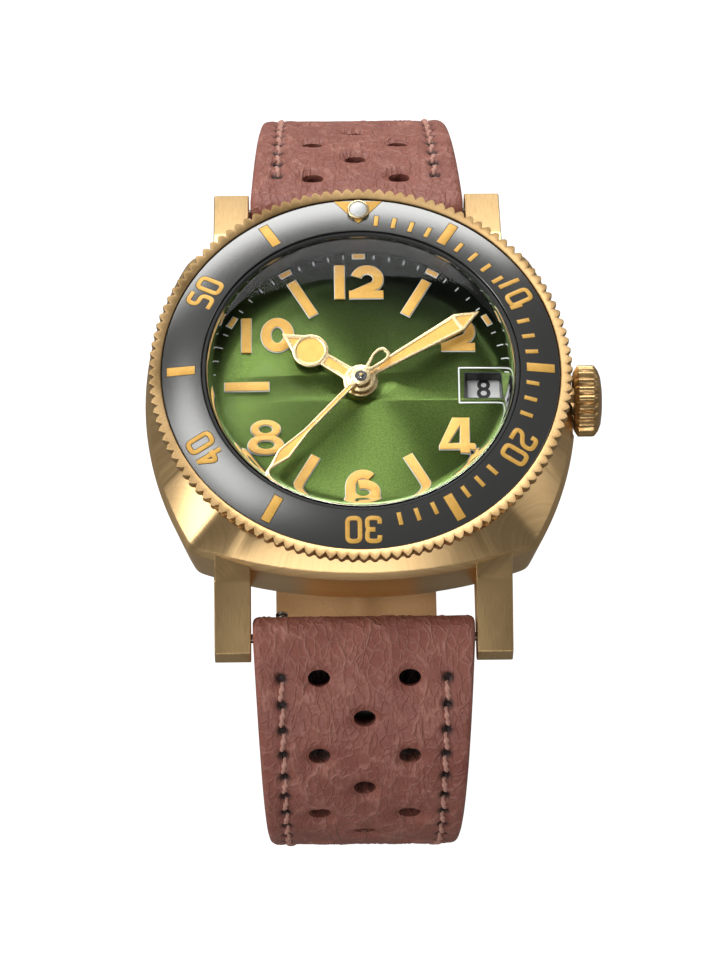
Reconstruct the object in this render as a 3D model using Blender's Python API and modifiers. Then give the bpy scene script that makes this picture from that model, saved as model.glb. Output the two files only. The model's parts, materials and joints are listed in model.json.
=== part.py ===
"""Automatic dive watch in a cushion case on a rally strap, closed into a loop.

Frame: metres, +Z out of the dial, +Y to 12 o'clock, +X to the crown. The origin
is the centre of the case back's flat outer face. Sizes below are in millimetres.
"""

import math

import bmesh
import bpy
from mathutils import Matrix, Vector

MM = 0.001

# ---------------------------------------------------------------- driving sizes
CASE_HALF_WIDTH = 19.5
CASE_HALF_HEIGHT = 18.0
SIDE_ARC_RADIUS = 30.6
END_ARC_RADIUS = 42.0
CORNER_SHARPNESS = 2.6
CASE_BOTTOM = 1.0
CASE_EDGE = 6.5
CASE_CHAMFER_TOP = 7.4
CASE_TOP = 9.4
ROUND_SECTIONS = 48

NECK_OUTER = 15.2
NECK_INNER = 14.3
NECK_TOP = 12.1
CASE_BORE = 14.6
DIAL_SEAT = 8.25
BACK_SEAT_RADIUS = 15.9
BACK_SEAT = 1.5

LUG_INNER = 10.05
LUG_OUTER = 13.3
BAR_Y = 22.0
BAR_Z = 3.2
BAR_PIN_RADIUS = 0.4
BAR_BODY_RADIUS = 0.85
BAR_HOLE_RADIUS = 0.5

BEZEL_INNER = 15.6
BEZEL_TIP = 19.0
BEZEL_VALLEY = 18.5
BEZEL_TEETH = 120
BEZEL_LOW = 9.85
BEZEL_RIM_LOW = 11.45
BEZEL_TOP = 12.65
BEZEL_SKIRT_RADIUS = 17.7
INSERT_INNER = 14.3
INSERT_OUTER = 17.87
INSERT_INNER_Z = 13.1
INSERT_OUTER_Z = 12.5
INSERT_THICK = 0.57
PIP_RADIUS = 0.95
PIP_CENTRE = 16.5

CRYSTAL_RADIUS = 13.9
CRYSTAL_LOW = 11.25
CRYSTAL_EDGE_TOP = 13.2
CRYSTAL_TOP = 15.0
CRYSTAL_HOLLOW_TOP = 12.3

DIAL_RADIUS = 14.0
DIAL_LOW = 8.3
DIAL_TOP = 8.8
DIAL_HOLE = 1.15
WINDOW_CENTRE_X = 10.75
WINDOW_WIDTH = 3.2
WINDOW_HEIGHT = 2.1

MOVEMENT_RADIUS = 12.9
HOLDER_INNER = 13.0
PLATE_LOW = 6.2
PLATE_TOP = 7.2
BRIDGE_LOW = 2.6
BRIDGE_TOP = 3.3

CROWN_AXIS_Z = 6.5
CROWN_RADIUS = 3.25
CROWN_VALLEY = 2.95
CROWN_FLUTES = 22
CROWN_START = 19.3
CROWN_END = 21.9

HOUR_ANGLE = 304.8
MINUTE_ANGLE = 57.7
SECONDS_ANGLE = 222.0

STRAP_FOLD_RADIUS = 1.9
STRAP_WIDTH_AT_LUG = 19.8
STRAP_WIDTH_AT_END = 16.0
STRAP_TAPER_LENGTH = 40.0
STRAP_THICK_AT_LUG = 3.6
STRAP_THICK_AT_END = 2.2
LINING_THICK = 0.7
LAYER_GAP = 0.05
# Each strap leaves its spring bar with its outer face at the first angle above the
# horizontal, then follows arcs (radius, turn in degrees) and lines (length, 0).
UPPER_START_ANGLE = 66.5
UPPER_ROUTE = [(40.0, 34.5), (24.0, 30.0), (15.4, 92.0), (17.0, 0.0)]
LOWER_START_ANGLE = 69.9
LOWER_ROUTE = [(17.42, 93.1), (10.0, 0.0), (25.7, 66.8), (34.0, 0.0), (20.0, 25.0)]
STRAP_STATION = 2.4
HOLE_RADIUS = 1.0
HOLE_COLUMN = 4.05
HOLE_FIRST_ROW = 3.84
HOLE_ROW_PITCH = 3.82
LINING_HOLE_START = 9.0
ADJUST_FIRST = 80.5
ADJUST_PITCH = 6.0
ADJUST_HOLES = 4

BUCKLE_BAR_RADIUS = 0.7
BUCKLE_FOLD_RADIUS = 1.5
BUCKLE_INNER_HALF = 8.35
BUCKLE_ARM = 1.9
BUCKLE_REACH = 8.8
KEEPER_WALL = 1.1
KEEPER_WIDTH = 4.0
KEEPER_SLOT = 0.8

# ---------------------------------------------------------------- going train
CENTRE_TEETH, THIRD_PINION = 48, 6
THIRD_TEETH, FOURTH_PINION = 45, 6
FOURTH_TEETH, ESCAPE_PINION = 60, 6
BARREL_TEETH, CENTRE_PINION = 48, 8
CANNON_TEETH, MINUTE_TEETH = 8, 24
MINUTE_PINION, HOUR_TEETH = 8, 32
ESCAPE_TEETH = 15
BARREL_DISTANCE = 6.6
THIRD_DISTANCE = 4.59
ESCAPE_DISTANCE = 3.96
MINUTE_WHEEL_DISTANCE = 3.36
BARREL_DIRECTION = 150.0
THIRD_DIRECTION = 255.0
ESCAPE_DIRECTION = -20.0
MINUTE_WHEEL_DIRECTION = 60.0
BALANCE_CENTRE = (5.8, -5.8)
PALLET_FROM_ESCAPE = 2.3
BALANCE_RADIUS = 3.9

MATERIALS = {
    "bronze": ((0.60, 0.38, 0.15), 0.38, 1.0),
    "gunmetal": ((0.20, 0.20, 0.20), 0.22, 0.6),
    "lume_white": ((0.80, 0.82, 0.78), 0.40, 0.0),
    "sapphire": ((0.90, 0.95, 0.92), 0.03, 0.0),
    "steel": ((0.62, 0.62, 0.62), 0.30, 1.0),
    "brass": ((0.72, 0.55, 0.28), 0.35, 1.0),
    "dial_green": ((0.16, 0.30, 0.04), 0.35, 0.3),
    "gold": ((0.90, 0.70, 0.38), 0.25, 1.0),
    "date_white": ((0.85, 0.85, 0.83), 0.50, 0.0),
    "black_ring": ((0.02, 0.02, 0.02), 0.45, 0.0),
    "rubber": ((0.03, 0.03, 0.03), 0.70, 0.0),
    "leather": ((0.26, 0.10, 0.08), 0.55, 0.0),
    "lining": ((0.50, 0.27, 0.11), 0.65, 0.0),
}


# ---------------------------------------------------------------- scene helpers
def clear_scene():
    for obj in list(bpy.data.objects):
        bpy.data.objects.remove(obj, do_unlink=True)


def new_collection(name):
    collection = bpy.data.collections.new(name)
    bpy.context.scene.collection.children.link(collection)
    return collection


def make_material(name):
    colour, roughness, metallic = MATERIALS[name]
    material = bpy.data.materials.new(name)
    material.use_nodes = True
    shader = material.node_tree.nodes["Principled BSDF"]
    shader.inputs["Base Color"].default_value = (*colour, 1.0)
    shader.inputs["Roughness"].default_value = roughness
    shader.inputs["Metallic"].default_value = metallic
    return material


clear_scene()
WATCH = new_collection("dive_watch")
CUTTERS = new_collection("dive_watch_cutters")
PAINT = {name: make_material(name) for name in MATERIALS}


def add_object(name, mesh, material=None):
    """Put a mesh in the watch, or among the cutters when it has no material."""
    obj = bpy.data.objects.new(name, mesh)
    if material is None:
        CUTTERS.objects.link(obj)
        obj.hide_render = True
        obj.display_type = "WIRE"
        return obj
    mesh.materials.append(PAINT[material])
    WATCH.objects.link(obj)
    mesh.shade_smooth()
    mesh.set_sharp_from_angle(angle=math.radians(35))
    return obj


def finish_bmesh(name, bm, material):
    """Turn a bmesh drawn in millimetres into an object in metres."""
    bmesh.ops.scale(bm, vec=(MM, MM, MM), verts=bm.verts)
    bmesh.ops.recalc_face_normals(bm, faces=bm.faces)
    mesh = bpy.data.meshes.new(name)
    bm.to_mesh(mesh)
    bm.free()
    return add_object(name, mesh, material)


def polar(radius, degrees):
    angle = math.radians(degrees)
    return radius * math.cos(angle), radius * math.sin(angle)


def circle_points(radius, count=32, centre=(0.0, 0.0)):
    step = 360.0 / count
    return [
        (centre[0] + x, centre[1] + y)
        for x, y in (polar(radius, step * i) for i in range(count))
    ]


def tooth_points(teeth, root, tip, centre=(0.0, 0.0)):
    """A pointed tooth form: one tip and one valley for each tooth."""
    step = 180.0 / teeth
    radii = [tip, root]
    return [
        (centre[0] + x, centre[1] + y)
        for x, y in (polar(radii[i % 2], step * i) for i in range(2 * teeth))
    ]


# ---------------------------------------------------------------- shape helpers
def turned(name, profile, material, steps=ROUND_SECTIONS, centre=(0.0, 0.0), closed=True):
    """Screw a profile of (radius, z) about a vertical axis through centre."""
    bm = bmesh.new()
    verts = [bm.verts.new((radius * MM, 0.0, z * MM)) for radius, z in profile]
    last = len(verts) if closed else len(verts) - 1
    for i in range(last):
        bm.edges.new((verts[i], verts[(i + 1) % len(verts)]))
    mesh = bpy.data.meshes.new(name)
    bm.to_mesh(mesh)
    bm.free()
    obj = add_object(name, mesh, material)
    screw = obj.modifiers.new("turn", "SCREW")
    screw.steps = steps
    screw.render_steps = steps
    screw.use_merge_vertices = True
    screw.merge_threshold = 1e-7
    screw.use_smooth_shade = True
    obj.location = (centre[0] * MM, centre[1] * MM, 0.0)
    return obj


def ring_profile(inner, outer, low, high):
    return [(outer, high), (outer, low), (inner, low), (inner, high)]


def turned_ring(name, inner, outer, low, high, material, steps=ROUND_SECTIONS, centre=(0.0, 0.0)):
    return turned(name, ring_profile(inner, outer, low, high), material, steps, centre)


def baked_copy(obj):
    """Replace an object by the plain mesh that its modifiers or curve make."""
    bpy.context.view_layer.update()
    graph = bpy.context.evaluated_depsgraph_get()
    mesh = bpy.data.meshes.new_from_object(obj.evaluated_get(graph))
    matrix = obj.matrix_world.copy()
    name = obj.name
    bpy.data.objects.remove(obj, do_unlink=True)
    bm = bmesh.new()
    bm.from_mesh(mesh)
    bmesh.ops.remove_doubles(bm, verts=bm.verts, dist=1e-7)
    bmesh.ops.transform(bm, matrix=matrix, verts=bm.verts)
    bmesh.ops.recalc_face_normals(bm, faces=bm.faces)
    bm.to_mesh(mesh)
    bm.free()
    mesh.materials.clear()
    return name, mesh


def plate(name, outlines, low, high, material):
    """A flat plate from closed outlines in XY; inner outlines are holes."""
    curve = bpy.data.curves.new(name, "CURVE")
    curve.dimensions = "2D"
    curve.fill_mode = "BOTH"
    curve.extrude = (high - low) / 2 * MM
    for points in outlines:
        spline = curve.splines.new("POLY")
        spline.points.add(len(points) - 1)
        for point, (x, y) in zip(spline.points, points):
            point.co = (x * MM, y * MM, 0.0, 1.0)
        spline.use_cyclic_u = True
    drawn = bpy.data.objects.new(name, curve)
    CUTTERS.objects.link(drawn)
    drawn.location = (0.0, 0.0, (high + low) / 2 * MM)
    plain_name, mesh = baked_copy(drawn)
    return add_object(plain_name, mesh, material)


def cylinder(name, radius, length, centre, axis, material=None, sides=24):
    """A solid cylinder of the given length, centred at a point, along X, Y or Z."""
    bm = bmesh.new()
    bmesh.ops.create_cone(
        bm, cap_ends=True, segments=sides, radius1=radius, radius2=radius, depth=length
    )
    turn = {"X": Matrix.Rotation(math.pi / 2, 3, "Y"), "Y": Matrix.Rotation(math.pi / 2, 3, "X")}
    if axis in turn:
        bmesh.ops.rotate(bm, cent=(0, 0, 0), matrix=turn[axis], verts=bm.verts)
    bmesh.ops.translate(bm, vec=centre, verts=bm.verts)
    return finish_bmesh(name, bm, material)


def block(name, low, high, material=None):
    """A box between two corners."""
    bm = bmesh.new()
    bmesh.ops.create_cube(bm, size=1.0)
    size = [h - l for l, h in zip(low, high)]
    bmesh.ops.scale(bm, vec=size, verts=bm.verts)
    middle = [(h + l) / 2 for l, h in zip(low, high)]
    bmesh.ops.translate(bm, vec=middle, verts=bm.verts)
    return finish_bmesh(name, bm, material)


def combine(obj, other, operation):
    modifier = obj.modifiers.new(operation.lower() + "_" + other.name, "BOOLEAN")
    modifier.operation = operation
    modifier.object = other
    modifier.solver = "EXACT"


def cut(obj, *cutters):
    for cutter in cutters:
        combine(obj, cutter, "DIFFERENCE")


def join(obj, *pieces):
    for piece in pieces:
        combine(obj, piece, "UNION")


def loft(name, rings, material, closed=False):
    """Skin rings of equal point count; a closed loft joins its last ring to its first."""
    bm = bmesh.new()
    rows = [[bm.verts.new(point) for point in ring] for ring in rings]
    count = len(rings[0])
    pairs = list(zip(rows, rows[1:]))
    if closed:
        pairs.append((rows[-1], rows[0]))
    for lower, upper in pairs:
        for i in range(count):
            j = (i + 1) % count
            bm.faces.new((lower[i], lower[j], upper[j], upper[i]))
    if not closed:
        bm.faces.new(reversed(rows[0]))
        bm.faces.new(rows[-1])
    return finish_bmesh(name, bm, material)


# ---------------------------------------------------------------- case
def arc_reach(direction, centre, radius):
    """Distance from the origin, along a unit direction, to a circle around it."""
    along = direction[0] * centre[0] + direction[1] * centre[1]
    return along + math.sqrt(along**2 - centre[0] ** 2 - centre[1] ** 2 + radius**2)


def cushion_radius(degrees):
    """Polar radius of the cushion outline: four arcs with softly rounded corners."""
    direction = polar(1.0, degrees)
    side = CASE_HALF_WIDTH - SIDE_ARC_RADIUS
    end = CASE_HALF_HEIGHT - END_ARC_RADIUS
    reaches = [
        arc_reach(direction, (side, 0.0), SIDE_ARC_RADIUS),
        arc_reach(direction, (-side, 0.0), SIDE_ARC_RADIUS),
        arc_reach(direction, (0.0, end), END_ARC_RADIUS),
        arc_reach(direction, (0.0, -end), END_ARC_RADIUS),
    ]
    total = sum(math.exp(-CORNER_SHARPNESS * (reach - 18.0)) for reach in reaches)
    return 18.0 - math.log(total) / CORNER_SHARPNESS


def cushion_ring(inset, z):
    step = 360.0 / ROUND_SECTIONS
    angles = [step * i for i in range(ROUND_SECTIONS)]
    return [(*polar(cushion_radius(a) - inset, a), z) for a in angles]


def shoulder_ring(z):
    """Where the sloping top meets the flat under the bezel."""
    step = 360.0 / ROUND_SECTIONS
    angles = [step * i for i in range(ROUND_SECTIONS)]
    return [(*polar(min(17.9, cushion_radius(a) - 0.55), a), z) for a in angles]


def round_ring(radius, z):
    return [(x, y, z) for x, y in circle_points(radius, ROUND_SECTIONS)]


def lug(name, side_x, side_y):
    """One lug as an extruded side view, with its top falling to the tip."""
    profile = [(15.2, 1.3), (15.2, 7.3), (17.9, 6.5), (23.75, 3.75), (23.75, 1.9), (23.2, 1.3)]
    ends = [LUG_INNER * side_x, LUG_OUTER * side_x]
    rings = [[(x, y * side_y, z) for y, z in profile] for x in ends]
    return loft(name, rings, None)


def make_mid_case():
    rings = [
        cushion_ring(1.0, CASE_BOTTOM),
        cushion_ring(0.0, CASE_EDGE),
        cushion_ring(0.35, CASE_CHAMFER_TOP),
        shoulder_ring(CASE_TOP),
        round_ring(NECK_OUTER, CASE_TOP),
        round_ring(NECK_OUTER, NECK_TOP),
        round_ring(NECK_INNER, NECK_TOP),
        round_ring(NECK_INNER, DIAL_SEAT),
        round_ring(CASE_BORE, DIAL_SEAT),
        round_ring(CASE_BORE, BACK_SEAT),
        round_ring(BACK_SEAT_RADIUS, BACK_SEAT),
        round_ring(BACK_SEAT_RADIUS, CASE_BOTTOM),
    ]
    case = loft("mid_case", rings, "bronze", closed=True)
    corners = [(x, y) for x in (-1, 1) for y in (-1, 1)]
    join(case, *[lug(f"lug_{x}_{y}", x, y) for x, y in corners])
    for side in (-1, 1):
        hole = cylinder(
            f"bar_hole_{side}", BAR_HOLE_RADIUS, 23.2, (0, side * BAR_Y, BAR_Z), "X", sides=16
        )
        cut(case, hole)
    cut(case, cylinder("tube_hole", 1.3, 8.0, (17.0, 0, CROWN_AXIS_Z), "X", sides=20))
    cut(case, cylinder("crown_recess", 3.6, 3.0, (20.65, 0, CROWN_AXIS_Z), "X", sides=32))


def make_case_back():
    profile = [
        (0.0, 0.9),
        (13.4, 0.9),
        (13.4, 2.5),
        (14.5, 2.5),
        (14.5, 1.45),
        (14.7, 1.45),
        (14.7, 1.1),
        (15.3, 1.1),
        (15.3, 1.45),
        (15.8, 1.45),
        (15.8, 0.25),
        (15.55, 0.0),
        (0.0, 0.0),
    ]
    back = turned("case_back", profile, "bronze", closed=False)
    for i in range(6):
        x, y = polar(14.2, 60.0 * i + 11.0)
        cut(back, cylinder(f"key_pocket_{i}", 0.8, 1.0, (x, y, 0.0), "Z", sides=8))
    turned_ring("case_back_gasket", 14.76, 15.24, 1.14, 1.44, "rubber")


def make_crystal():
    rise = CRYSTAL_TOP - CRYSTAL_EDGE_TOP
    edge = CRYSTAL_RADIUS - 0.25
    dome = (edge**2 + rise**2) / (2 * rise)
    inner_edge = CRYSTAL_RADIUS - 0.7
    inner_rise = CRYSTAL_HOLLOW_TOP - CRYSTAL_LOW
    hollow = (inner_edge**2 + inner_rise**2) / (2 * inner_rise)
    shares = [0.0, 0.5, 0.8, 1.0]
    top = [
        (edge * s, CRYSTAL_TOP - dome + math.sqrt(dome**2 - (edge * s) ** 2)) for s in shares
    ]
    under = [
        (r, CRYSTAL_HOLLOW_TOP - hollow + math.sqrt(hollow**2 - r**2))
        for r in (inner_edge * s for s in reversed(shares))
    ]
    side = [(CRYSTAL_RADIUS, CRYSTAL_EDGE_TOP - 0.3), (CRYSTAL_RADIUS, CRYSTAL_LOW)]
    turned("crystal", top + side + under, "sapphire", closed=False)
    turned_ring("crystal_gasket", 13.96, 14.24, 11.25, 12.0, "rubber")


def make_rehaut():
    profile = [(14.2, 11.15), (14.2, 8.85), (13.3, 8.85), (13.75, 11.15)]
    turned("rehaut_ring", profile, "black_ring")


# ---------------------------------------------------------------- bezel
def insert_top(radius):
    share = (radius - INSERT_INNER) / (INSERT_OUTER - INSERT_INNER)
    return INSERT_INNER_Z + share * (INSERT_OUTER_Z - INSERT_INNER_Z)


def make_bezel():
    """A thin toothed rim on a narrower skirt, with the insert in its recess."""
    bore = circle_points(BEZEL_INNER, ROUND_SECTIONS)
    teeth = tooth_points(BEZEL_TEETH, BEZEL_VALLEY, BEZEL_TIP)
    ring = plate("bezel_ring", [teeth, bore], BEZEL_LOW, BEZEL_TOP, "bronze")
    below = ring_profile(BEZEL_SKIRT_RADIUS, BEZEL_TIP + 1, BEZEL_LOW - 1, BEZEL_RIM_LOW)
    cut(ring, turned("bezel_undercut", below, None))
    seat = INSERT_THICK + 0.05
    lip = INSERT_OUTER + 0.06
    recess_profile = [
        (lip, BEZEL_TOP + 1),
        (lip, insert_top(lip) - seat),
        (NECK_INNER, insert_top(NECK_INNER) - seat),
        (NECK_INNER, BEZEL_TOP + 1),
    ]
    cut(ring, turned("insert_recess", recess_profile, None))
    insert_profile = [
        (INSERT_INNER, INSERT_INNER_Z),
        (INSERT_OUTER, INSERT_OUTER_Z),
        (INSERT_OUTER, INSERT_OUTER_Z - INSERT_THICK),
        (INSERT_INNER, INSERT_INNER_Z - INSERT_THICK),
    ]
    turned("bezel_insert", insert_profile, "gunmetal")


def make_lume_pip():
    """A low dome set in the insert at 12 o'clock."""
    pip = turned(
        "lume_pip",
        [(0.0, 0.55), (0.45, 0.48), (0.8, 0.28), (PIP_RADIUS, 0.0), (0.0, 0.0)],
        "lume_white",
        steps=16,
        closed=False,
    )
    pip.location = (0.0, PIP_CENTRE * MM, (insert_top(PIP_CENTRE - PIP_RADIUS) + 0.03) * MM)


def make_bezel_mechanism():
    """The flat click spring below the bezel and the ring that holds it on."""
    spring = [polar(17.4, a) for a in range(10, 351, 10)]
    spring += [polar(16.2, a) for a in range(350, 9, -10)]
    plate("bezel_click_spring", [spring], 9.45, 9.6, "steel")
    turned_ring("bezel_retaining_ring", 15.25, 15.55, 10.9, 11.2, "steel")


# ---------------------------------------------------------------- dial side
def make_dial():
    half_width = WINDOW_WIDTH / 2
    half_height = WINDOW_HEIGHT / 2
    window = [
        (WINDOW_CENTRE_X - half_width, -half_height),
        (WINDOW_CENTRE_X + half_width, -half_height),
        (WINDOW_CENTRE_X + half_width, half_height),
        (WINDOW_CENTRE_X - half_width, half_height),
    ]
    outlines = [circle_points(DIAL_RADIUS, ROUND_SECTIONS), circle_points(DIAL_HOLE, 24), window]
    plate("dial", outlines, DIAL_LOW, DIAL_TOP, "dial_green")
    turned_ring("date_disc", 9.0, 12.6, 7.4, 7.65, "date_white")


def mirrored(half):
    """Close a half outline of a hand about its long axis."""
    return half + [(-x, y) for x, y in reversed(half) if x != 0.0]


def hub_arc(radius, half_stem, from_tail=0.0):
    """Right half of a hub, from its tail side up to the stem."""
    tail = math.degrees(math.asin(from_tail / radius))
    stem = math.degrees(math.acos(half_stem / radius))
    start = -90.0 + tail
    return [polar(radius, start + (stem - start) * i / 8) for i in range(9)]


def hand(name, half, hole, low, high, angle):
    """A hand drawn towards 12 o'clock, then turned clockwise to its time."""
    obj = plate(name, [mirrored(half), circle_points(hole, 16)], low, high, "gold")
    obj.rotation_euler = (0.0, 0.0, -math.radians(angle))
    return obj


def make_hands():
    """Hour, minute and seconds hands at their shown time."""
    disc = [(x, 5.3 + y) for x, y in (polar(1.5, a) for a in range(-70, 61, 13))]
    hour = hub_arc(1.6, 0.42) + disc + [(0.95, 6.9), (0.0, 8.2)]
    hand("hour_hand", hour, 1.0, 9.5, 9.7, HOUR_ANGLE)
    minute = hub_arc(1.35, 0.42) + [(0.42, 2.4), (1.1, 10.1), (0.0, 12.4)]
    hand("minute_hand", minute, 0.7, 9.95, 10.15, MINUTE_ANGLE)
    counterweight = [(0.0, -3.45), (0.6, -3.3), (0.6, -2.3), (0.2, -1.6)]
    stem = [(0.14, 7.2), (0.58, 10.1), (0.0, 12.8)]
    seconds = counterweight + hub_arc(0.85, 0.14, 0.2) + stem
    hand("seconds_hand", seconds, 0.2, 10.4, 10.55, SECONDS_ANGLE)


# ---------------------------------------------------------------- movement
def wheel(name, teeth, pitch, low, high, centre, bore=None, material="brass"):
    """A toothed disc; its module sets how far the teeth stand."""
    module = 2 * pitch / teeth
    outline = tooth_points(teeth, pitch - 0.9 * module, pitch + 0.35 * module, centre)
    outlines = [outline]
    if bore:
        outlines.append(circle_points(bore, 12, centre))
    return plate(name, outlines, low, high, material)


def pitch_radii(distance, teeth, leaves):
    """Split a centre distance between a wheel and the pinion it drives."""
    return distance * teeth / (teeth + leaves), distance * leaves / (teeth + leaves)


def wheel_on_arbor(name, wheel_part, pinion_part, arbor, centre):
    """A wheel, a pinion and an arbor joined; each part is (teeth, pitch, low, high)."""
    body = cylinder(
        name,
        arbor[0],
        arbor[2] - arbor[1],
        (*centre, (arbor[1] + arbor[2]) / 2),
        "Z",
        "brass",
        sides=12,
    )
    for label, (teeth, pitch, low, high) in (("rim", wheel_part), ("leaves", pinion_part)):
        join(body, wheel(f"{name}_{label}", teeth, pitch, low, high, centre, material=None))
    return body


def make_going_train():
    """Barrel, centre, third, fourth and escape wheels; returns the last one's centre."""
    barrel_centre = polar(BARREL_DISTANCE, BARREL_DIRECTION)
    third_centre = polar(THIRD_DISTANCE, THIRD_DIRECTION)
    escape_centre = polar(ESCAPE_DISTANCE, ESCAPE_DIRECTION)
    great, centre_leaf = pitch_radii(BARREL_DISTANCE, BARREL_TEETH, CENTRE_PINION)
    centre_rim, third_leaf = pitch_radii(THIRD_DISTANCE, CENTRE_TEETH, THIRD_PINION)
    third_rim, fourth_leaf = pitch_radii(THIRD_DISTANCE, THIRD_TEETH, FOURTH_PINION)
    fourth_rim, escape_leaf = pitch_radii(ESCAPE_DISTANCE, FOURTH_TEETH, ESCAPE_PINION)

    barrel = cylinder(
        "mainspring_barrel", 5.0, 1.2, (*barrel_centre, 5.05), "Z", "brass", sides=32
    )
    join(
        barrel,
        wheel("great_wheel", BARREL_TEETH, great, 5.6, 5.85, barrel_centre, material=None),
        cylinder("barrel_arbor", 0.6, 2.7, (*barrel_centre, 4.75), "Z", sides=12),
    )
    centre = turned_ring("centre_wheel", 0.22, 0.42, 4.12, 10.25, "brass", steps=16)
    join(
        centre,
        wheel("centre_rim", CENTRE_TEETH, centre_rim, 4.12, 4.24, (0, 0), 0.3, None),
        wheel("centre_leaves", CENTRE_PINION, centre_leaf, 5.55, 5.9, (0, 0), 0.3, None),
    )
    wheel_on_arbor(
        "third_wheel",
        (THIRD_TEETH, third_rim, 3.8, 3.92),
        (THIRD_PINION, third_leaf, 4.05, 4.32),
        (0.15, 3.4, 6.1),
        third_centre,
    )
    wheel_on_arbor(
        "fourth_wheel",
        (FOURTH_TEETH, fourth_rim, 3.5, 3.62),
        (FOURTH_PINION, fourth_leaf, 3.74, 4.0),
        (0.15, 3.4, 10.8),
        (0.0, 0.0),
    )
    wheel_on_arbor(
        "escape_wheel",
        (ESCAPE_TEETH, 1.45, 4.7, 4.82),
        (ESCAPE_PINION, escape_leaf, 3.42, 3.7),
        (0.13, 3.38, 6.1),
        escape_centre,
    )
    return escape_centre


def make_escapement(escape_centre):
    """The pallet fork between the escape wheel and the balance."""
    start = Vector(escape_centre)
    balance = Vector(BALANCE_CENTRE)
    towards = (balance - start).normalized()
    pivot = start + PALLET_FROM_ESCAPE * towards
    turn = math.atan2(towards.y, towards.x)

    def placed(points):
        rotation = Matrix.Rotation(turn, 2)
        return [tuple(pivot + rotation @ Vector(point)) for point in points]

    fork = [(-0.25, -1.0), (0.3, -1.0), (0.3, -0.25), (1.3, -0.15), (1.75, -0.4), (1.75, 0.4)]
    fork += [(1.3, 0.15), (0.3, 0.25), (0.3, 1.0), (-0.25, 1.0)]
    pallet = plate("pallet_fork", [placed(fork)], 4.7, 4.82, "steel")
    join(pallet, cylinder("pallet_arbor", 0.12, 1.7, (*pivot, 4.25), "Z", sides=10))

    staff = cylinder("balance_wheel", 0.18, 2.7, (*balance, 4.75), "Z", "gold", sides=12)
    rim = [
        circle_points(BALANCE_RADIUS, 32, balance),
        circle_points(BALANCE_RADIUS - 0.5, 32, balance),
    ]
    spokes = [
        plate(f"spoke_{i}", [spoke_outline(balance, 120.0 * i + 10.0)], 4.92, 5.18, None)
        for i in range(3)
    ]
    roller = cylinder("roller", 0.4, 0.18, (*balance, 4.76), "Z", sides=12)
    join(staff, *spokes, plate("balance_rim", rim, 4.9, 5.2, None), roller)
    make_hairspring(balance)


def spoke_outline(centre, degrees):
    along = Vector(polar(1.0, degrees))
    across = Vector((-along.y, along.x)) * 0.16
    outer = centre + along * (BALANCE_RADIUS - 0.25)
    corners = [centre - across, outer - across, outer + across, centre + across]
    return [tuple(corner) for corner in corners]


def make_hairspring(centre):
    """A flat Archimedean spiral ribbon with three and a half coils."""
    inner, outer, coils, width = 0.55, 2.15, 3.5, 0.1
    count = 42

    def spiral(offset):
        points = []
        for i in range(count + 1):
            share = i / count
            x, y = polar(inner + (outer - inner) * share + offset, 360.0 * coils * share)
            points.append((centre[0] + x, centre[1] + y))
        return points

    outline = spiral(width / 2) + spiral(-width / 2)[::-1]
    plate("hairspring", [outline], 4.5, 4.62, "steel")


def make_main_plate():
    outlines = [circle_points(MOVEMENT_RADIUS, ROUND_SECTIONS), circle_points(1.25, 24)]
    main = plate("main_plate", outlines, PLATE_LOW, PLATE_TOP, "brass")
    cut(main, cylinder("stem_channel", 0.6, 9.0, (12.0, 0, CROWN_AXIS_Z), "X", sides=16))
    cut(main, cylinder("pinion_pocket", 0.95, 4.6, (10.2, 0, CROWN_AXIS_Z), "X", sides=16))
    holder = turned_ring("movement_holder", HOLDER_INNER, 14.5, 2.65, 8.2, "steel")
    cut(holder, cylinder("holder_slot", 1.45, 3.0, (13.8, 0, CROWN_AXIS_Z), "X", sides=16))


def sector(radius, inner, first, last, steps=12):
    """A sector of a ring between two directions in degrees."""
    spread = [first + (last - first) * i / steps for i in range(steps + 1)]
    outer = [polar(radius, a) for a in spread]
    return outer + [polar(inner, a) for a in reversed(spread)]


def bridge(name, outline, pillars):
    """A bridge plate with round pillars standing on the main plate."""
    body = plate(name, [outline], BRIDGE_LOW, BRIDGE_TOP, "steel")
    for i, (x, y) in enumerate(pillars):
        middle = (BRIDGE_TOP + PLATE_LOW - 0.05) / 2 - 0.1
        height = PLATE_LOW - 0.05 - BRIDGE_TOP + 0.2
        join(body, cylinder(f"{name}_pillar_{i}", 0.7, height, (x, y, middle), "Z", sides=12))
    return body


def screw(name, x, y, low, radius=0.65, height=0.25):
    """A slotted screw head seen from the back of the movement."""
    head = cylinder(name, radius, height, (x, y, low - height / 2), "Z", "steel", sides=16)
    slot_low = (x - 0.12, y - 2 * radius, low - height - 0.1)
    slot_high = (x + 0.12, y + 2 * radius, low - height + 0.1)
    cut(head, block(f"{name}_slot", slot_low, slot_high))


def make_bridges():
    """The four bridges over the train and the screws that hold them."""
    barrel_pillars = [polar(11.9, 95.0), polar(11.9, 212.0)]
    train_pillars = [polar(11.9, 228.0), polar(11.9, 262.0)]
    cock_pillars = [polar(11.9, -8.0)]
    bridge("barrel_bridge", sector(12.7, 2.2, 60.0, 220.0), barrel_pillars)
    bridge("train_bridge", sector(12.7, 1.9, 223.0, 275.0, 6), train_pillars)
    cock = sector(12.7, 6.3, -60.0, 4.0, 6)
    bridge("balance_cock", cock, cock_pillars)
    pallet_bridge = sector(6.1, 2.2, -62.0, 20.0, 6)
    bridge("escapement_bridge", pallet_bridge, [polar(5.3, 12.0)])
    spots = barrel_pillars + train_pillars[1:] + cock_pillars
    for i, (x, y) in enumerate(spots):
        screw(f"bridge_screw_{i + 1}", x, y, BRIDGE_LOW - 0.03)


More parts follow.
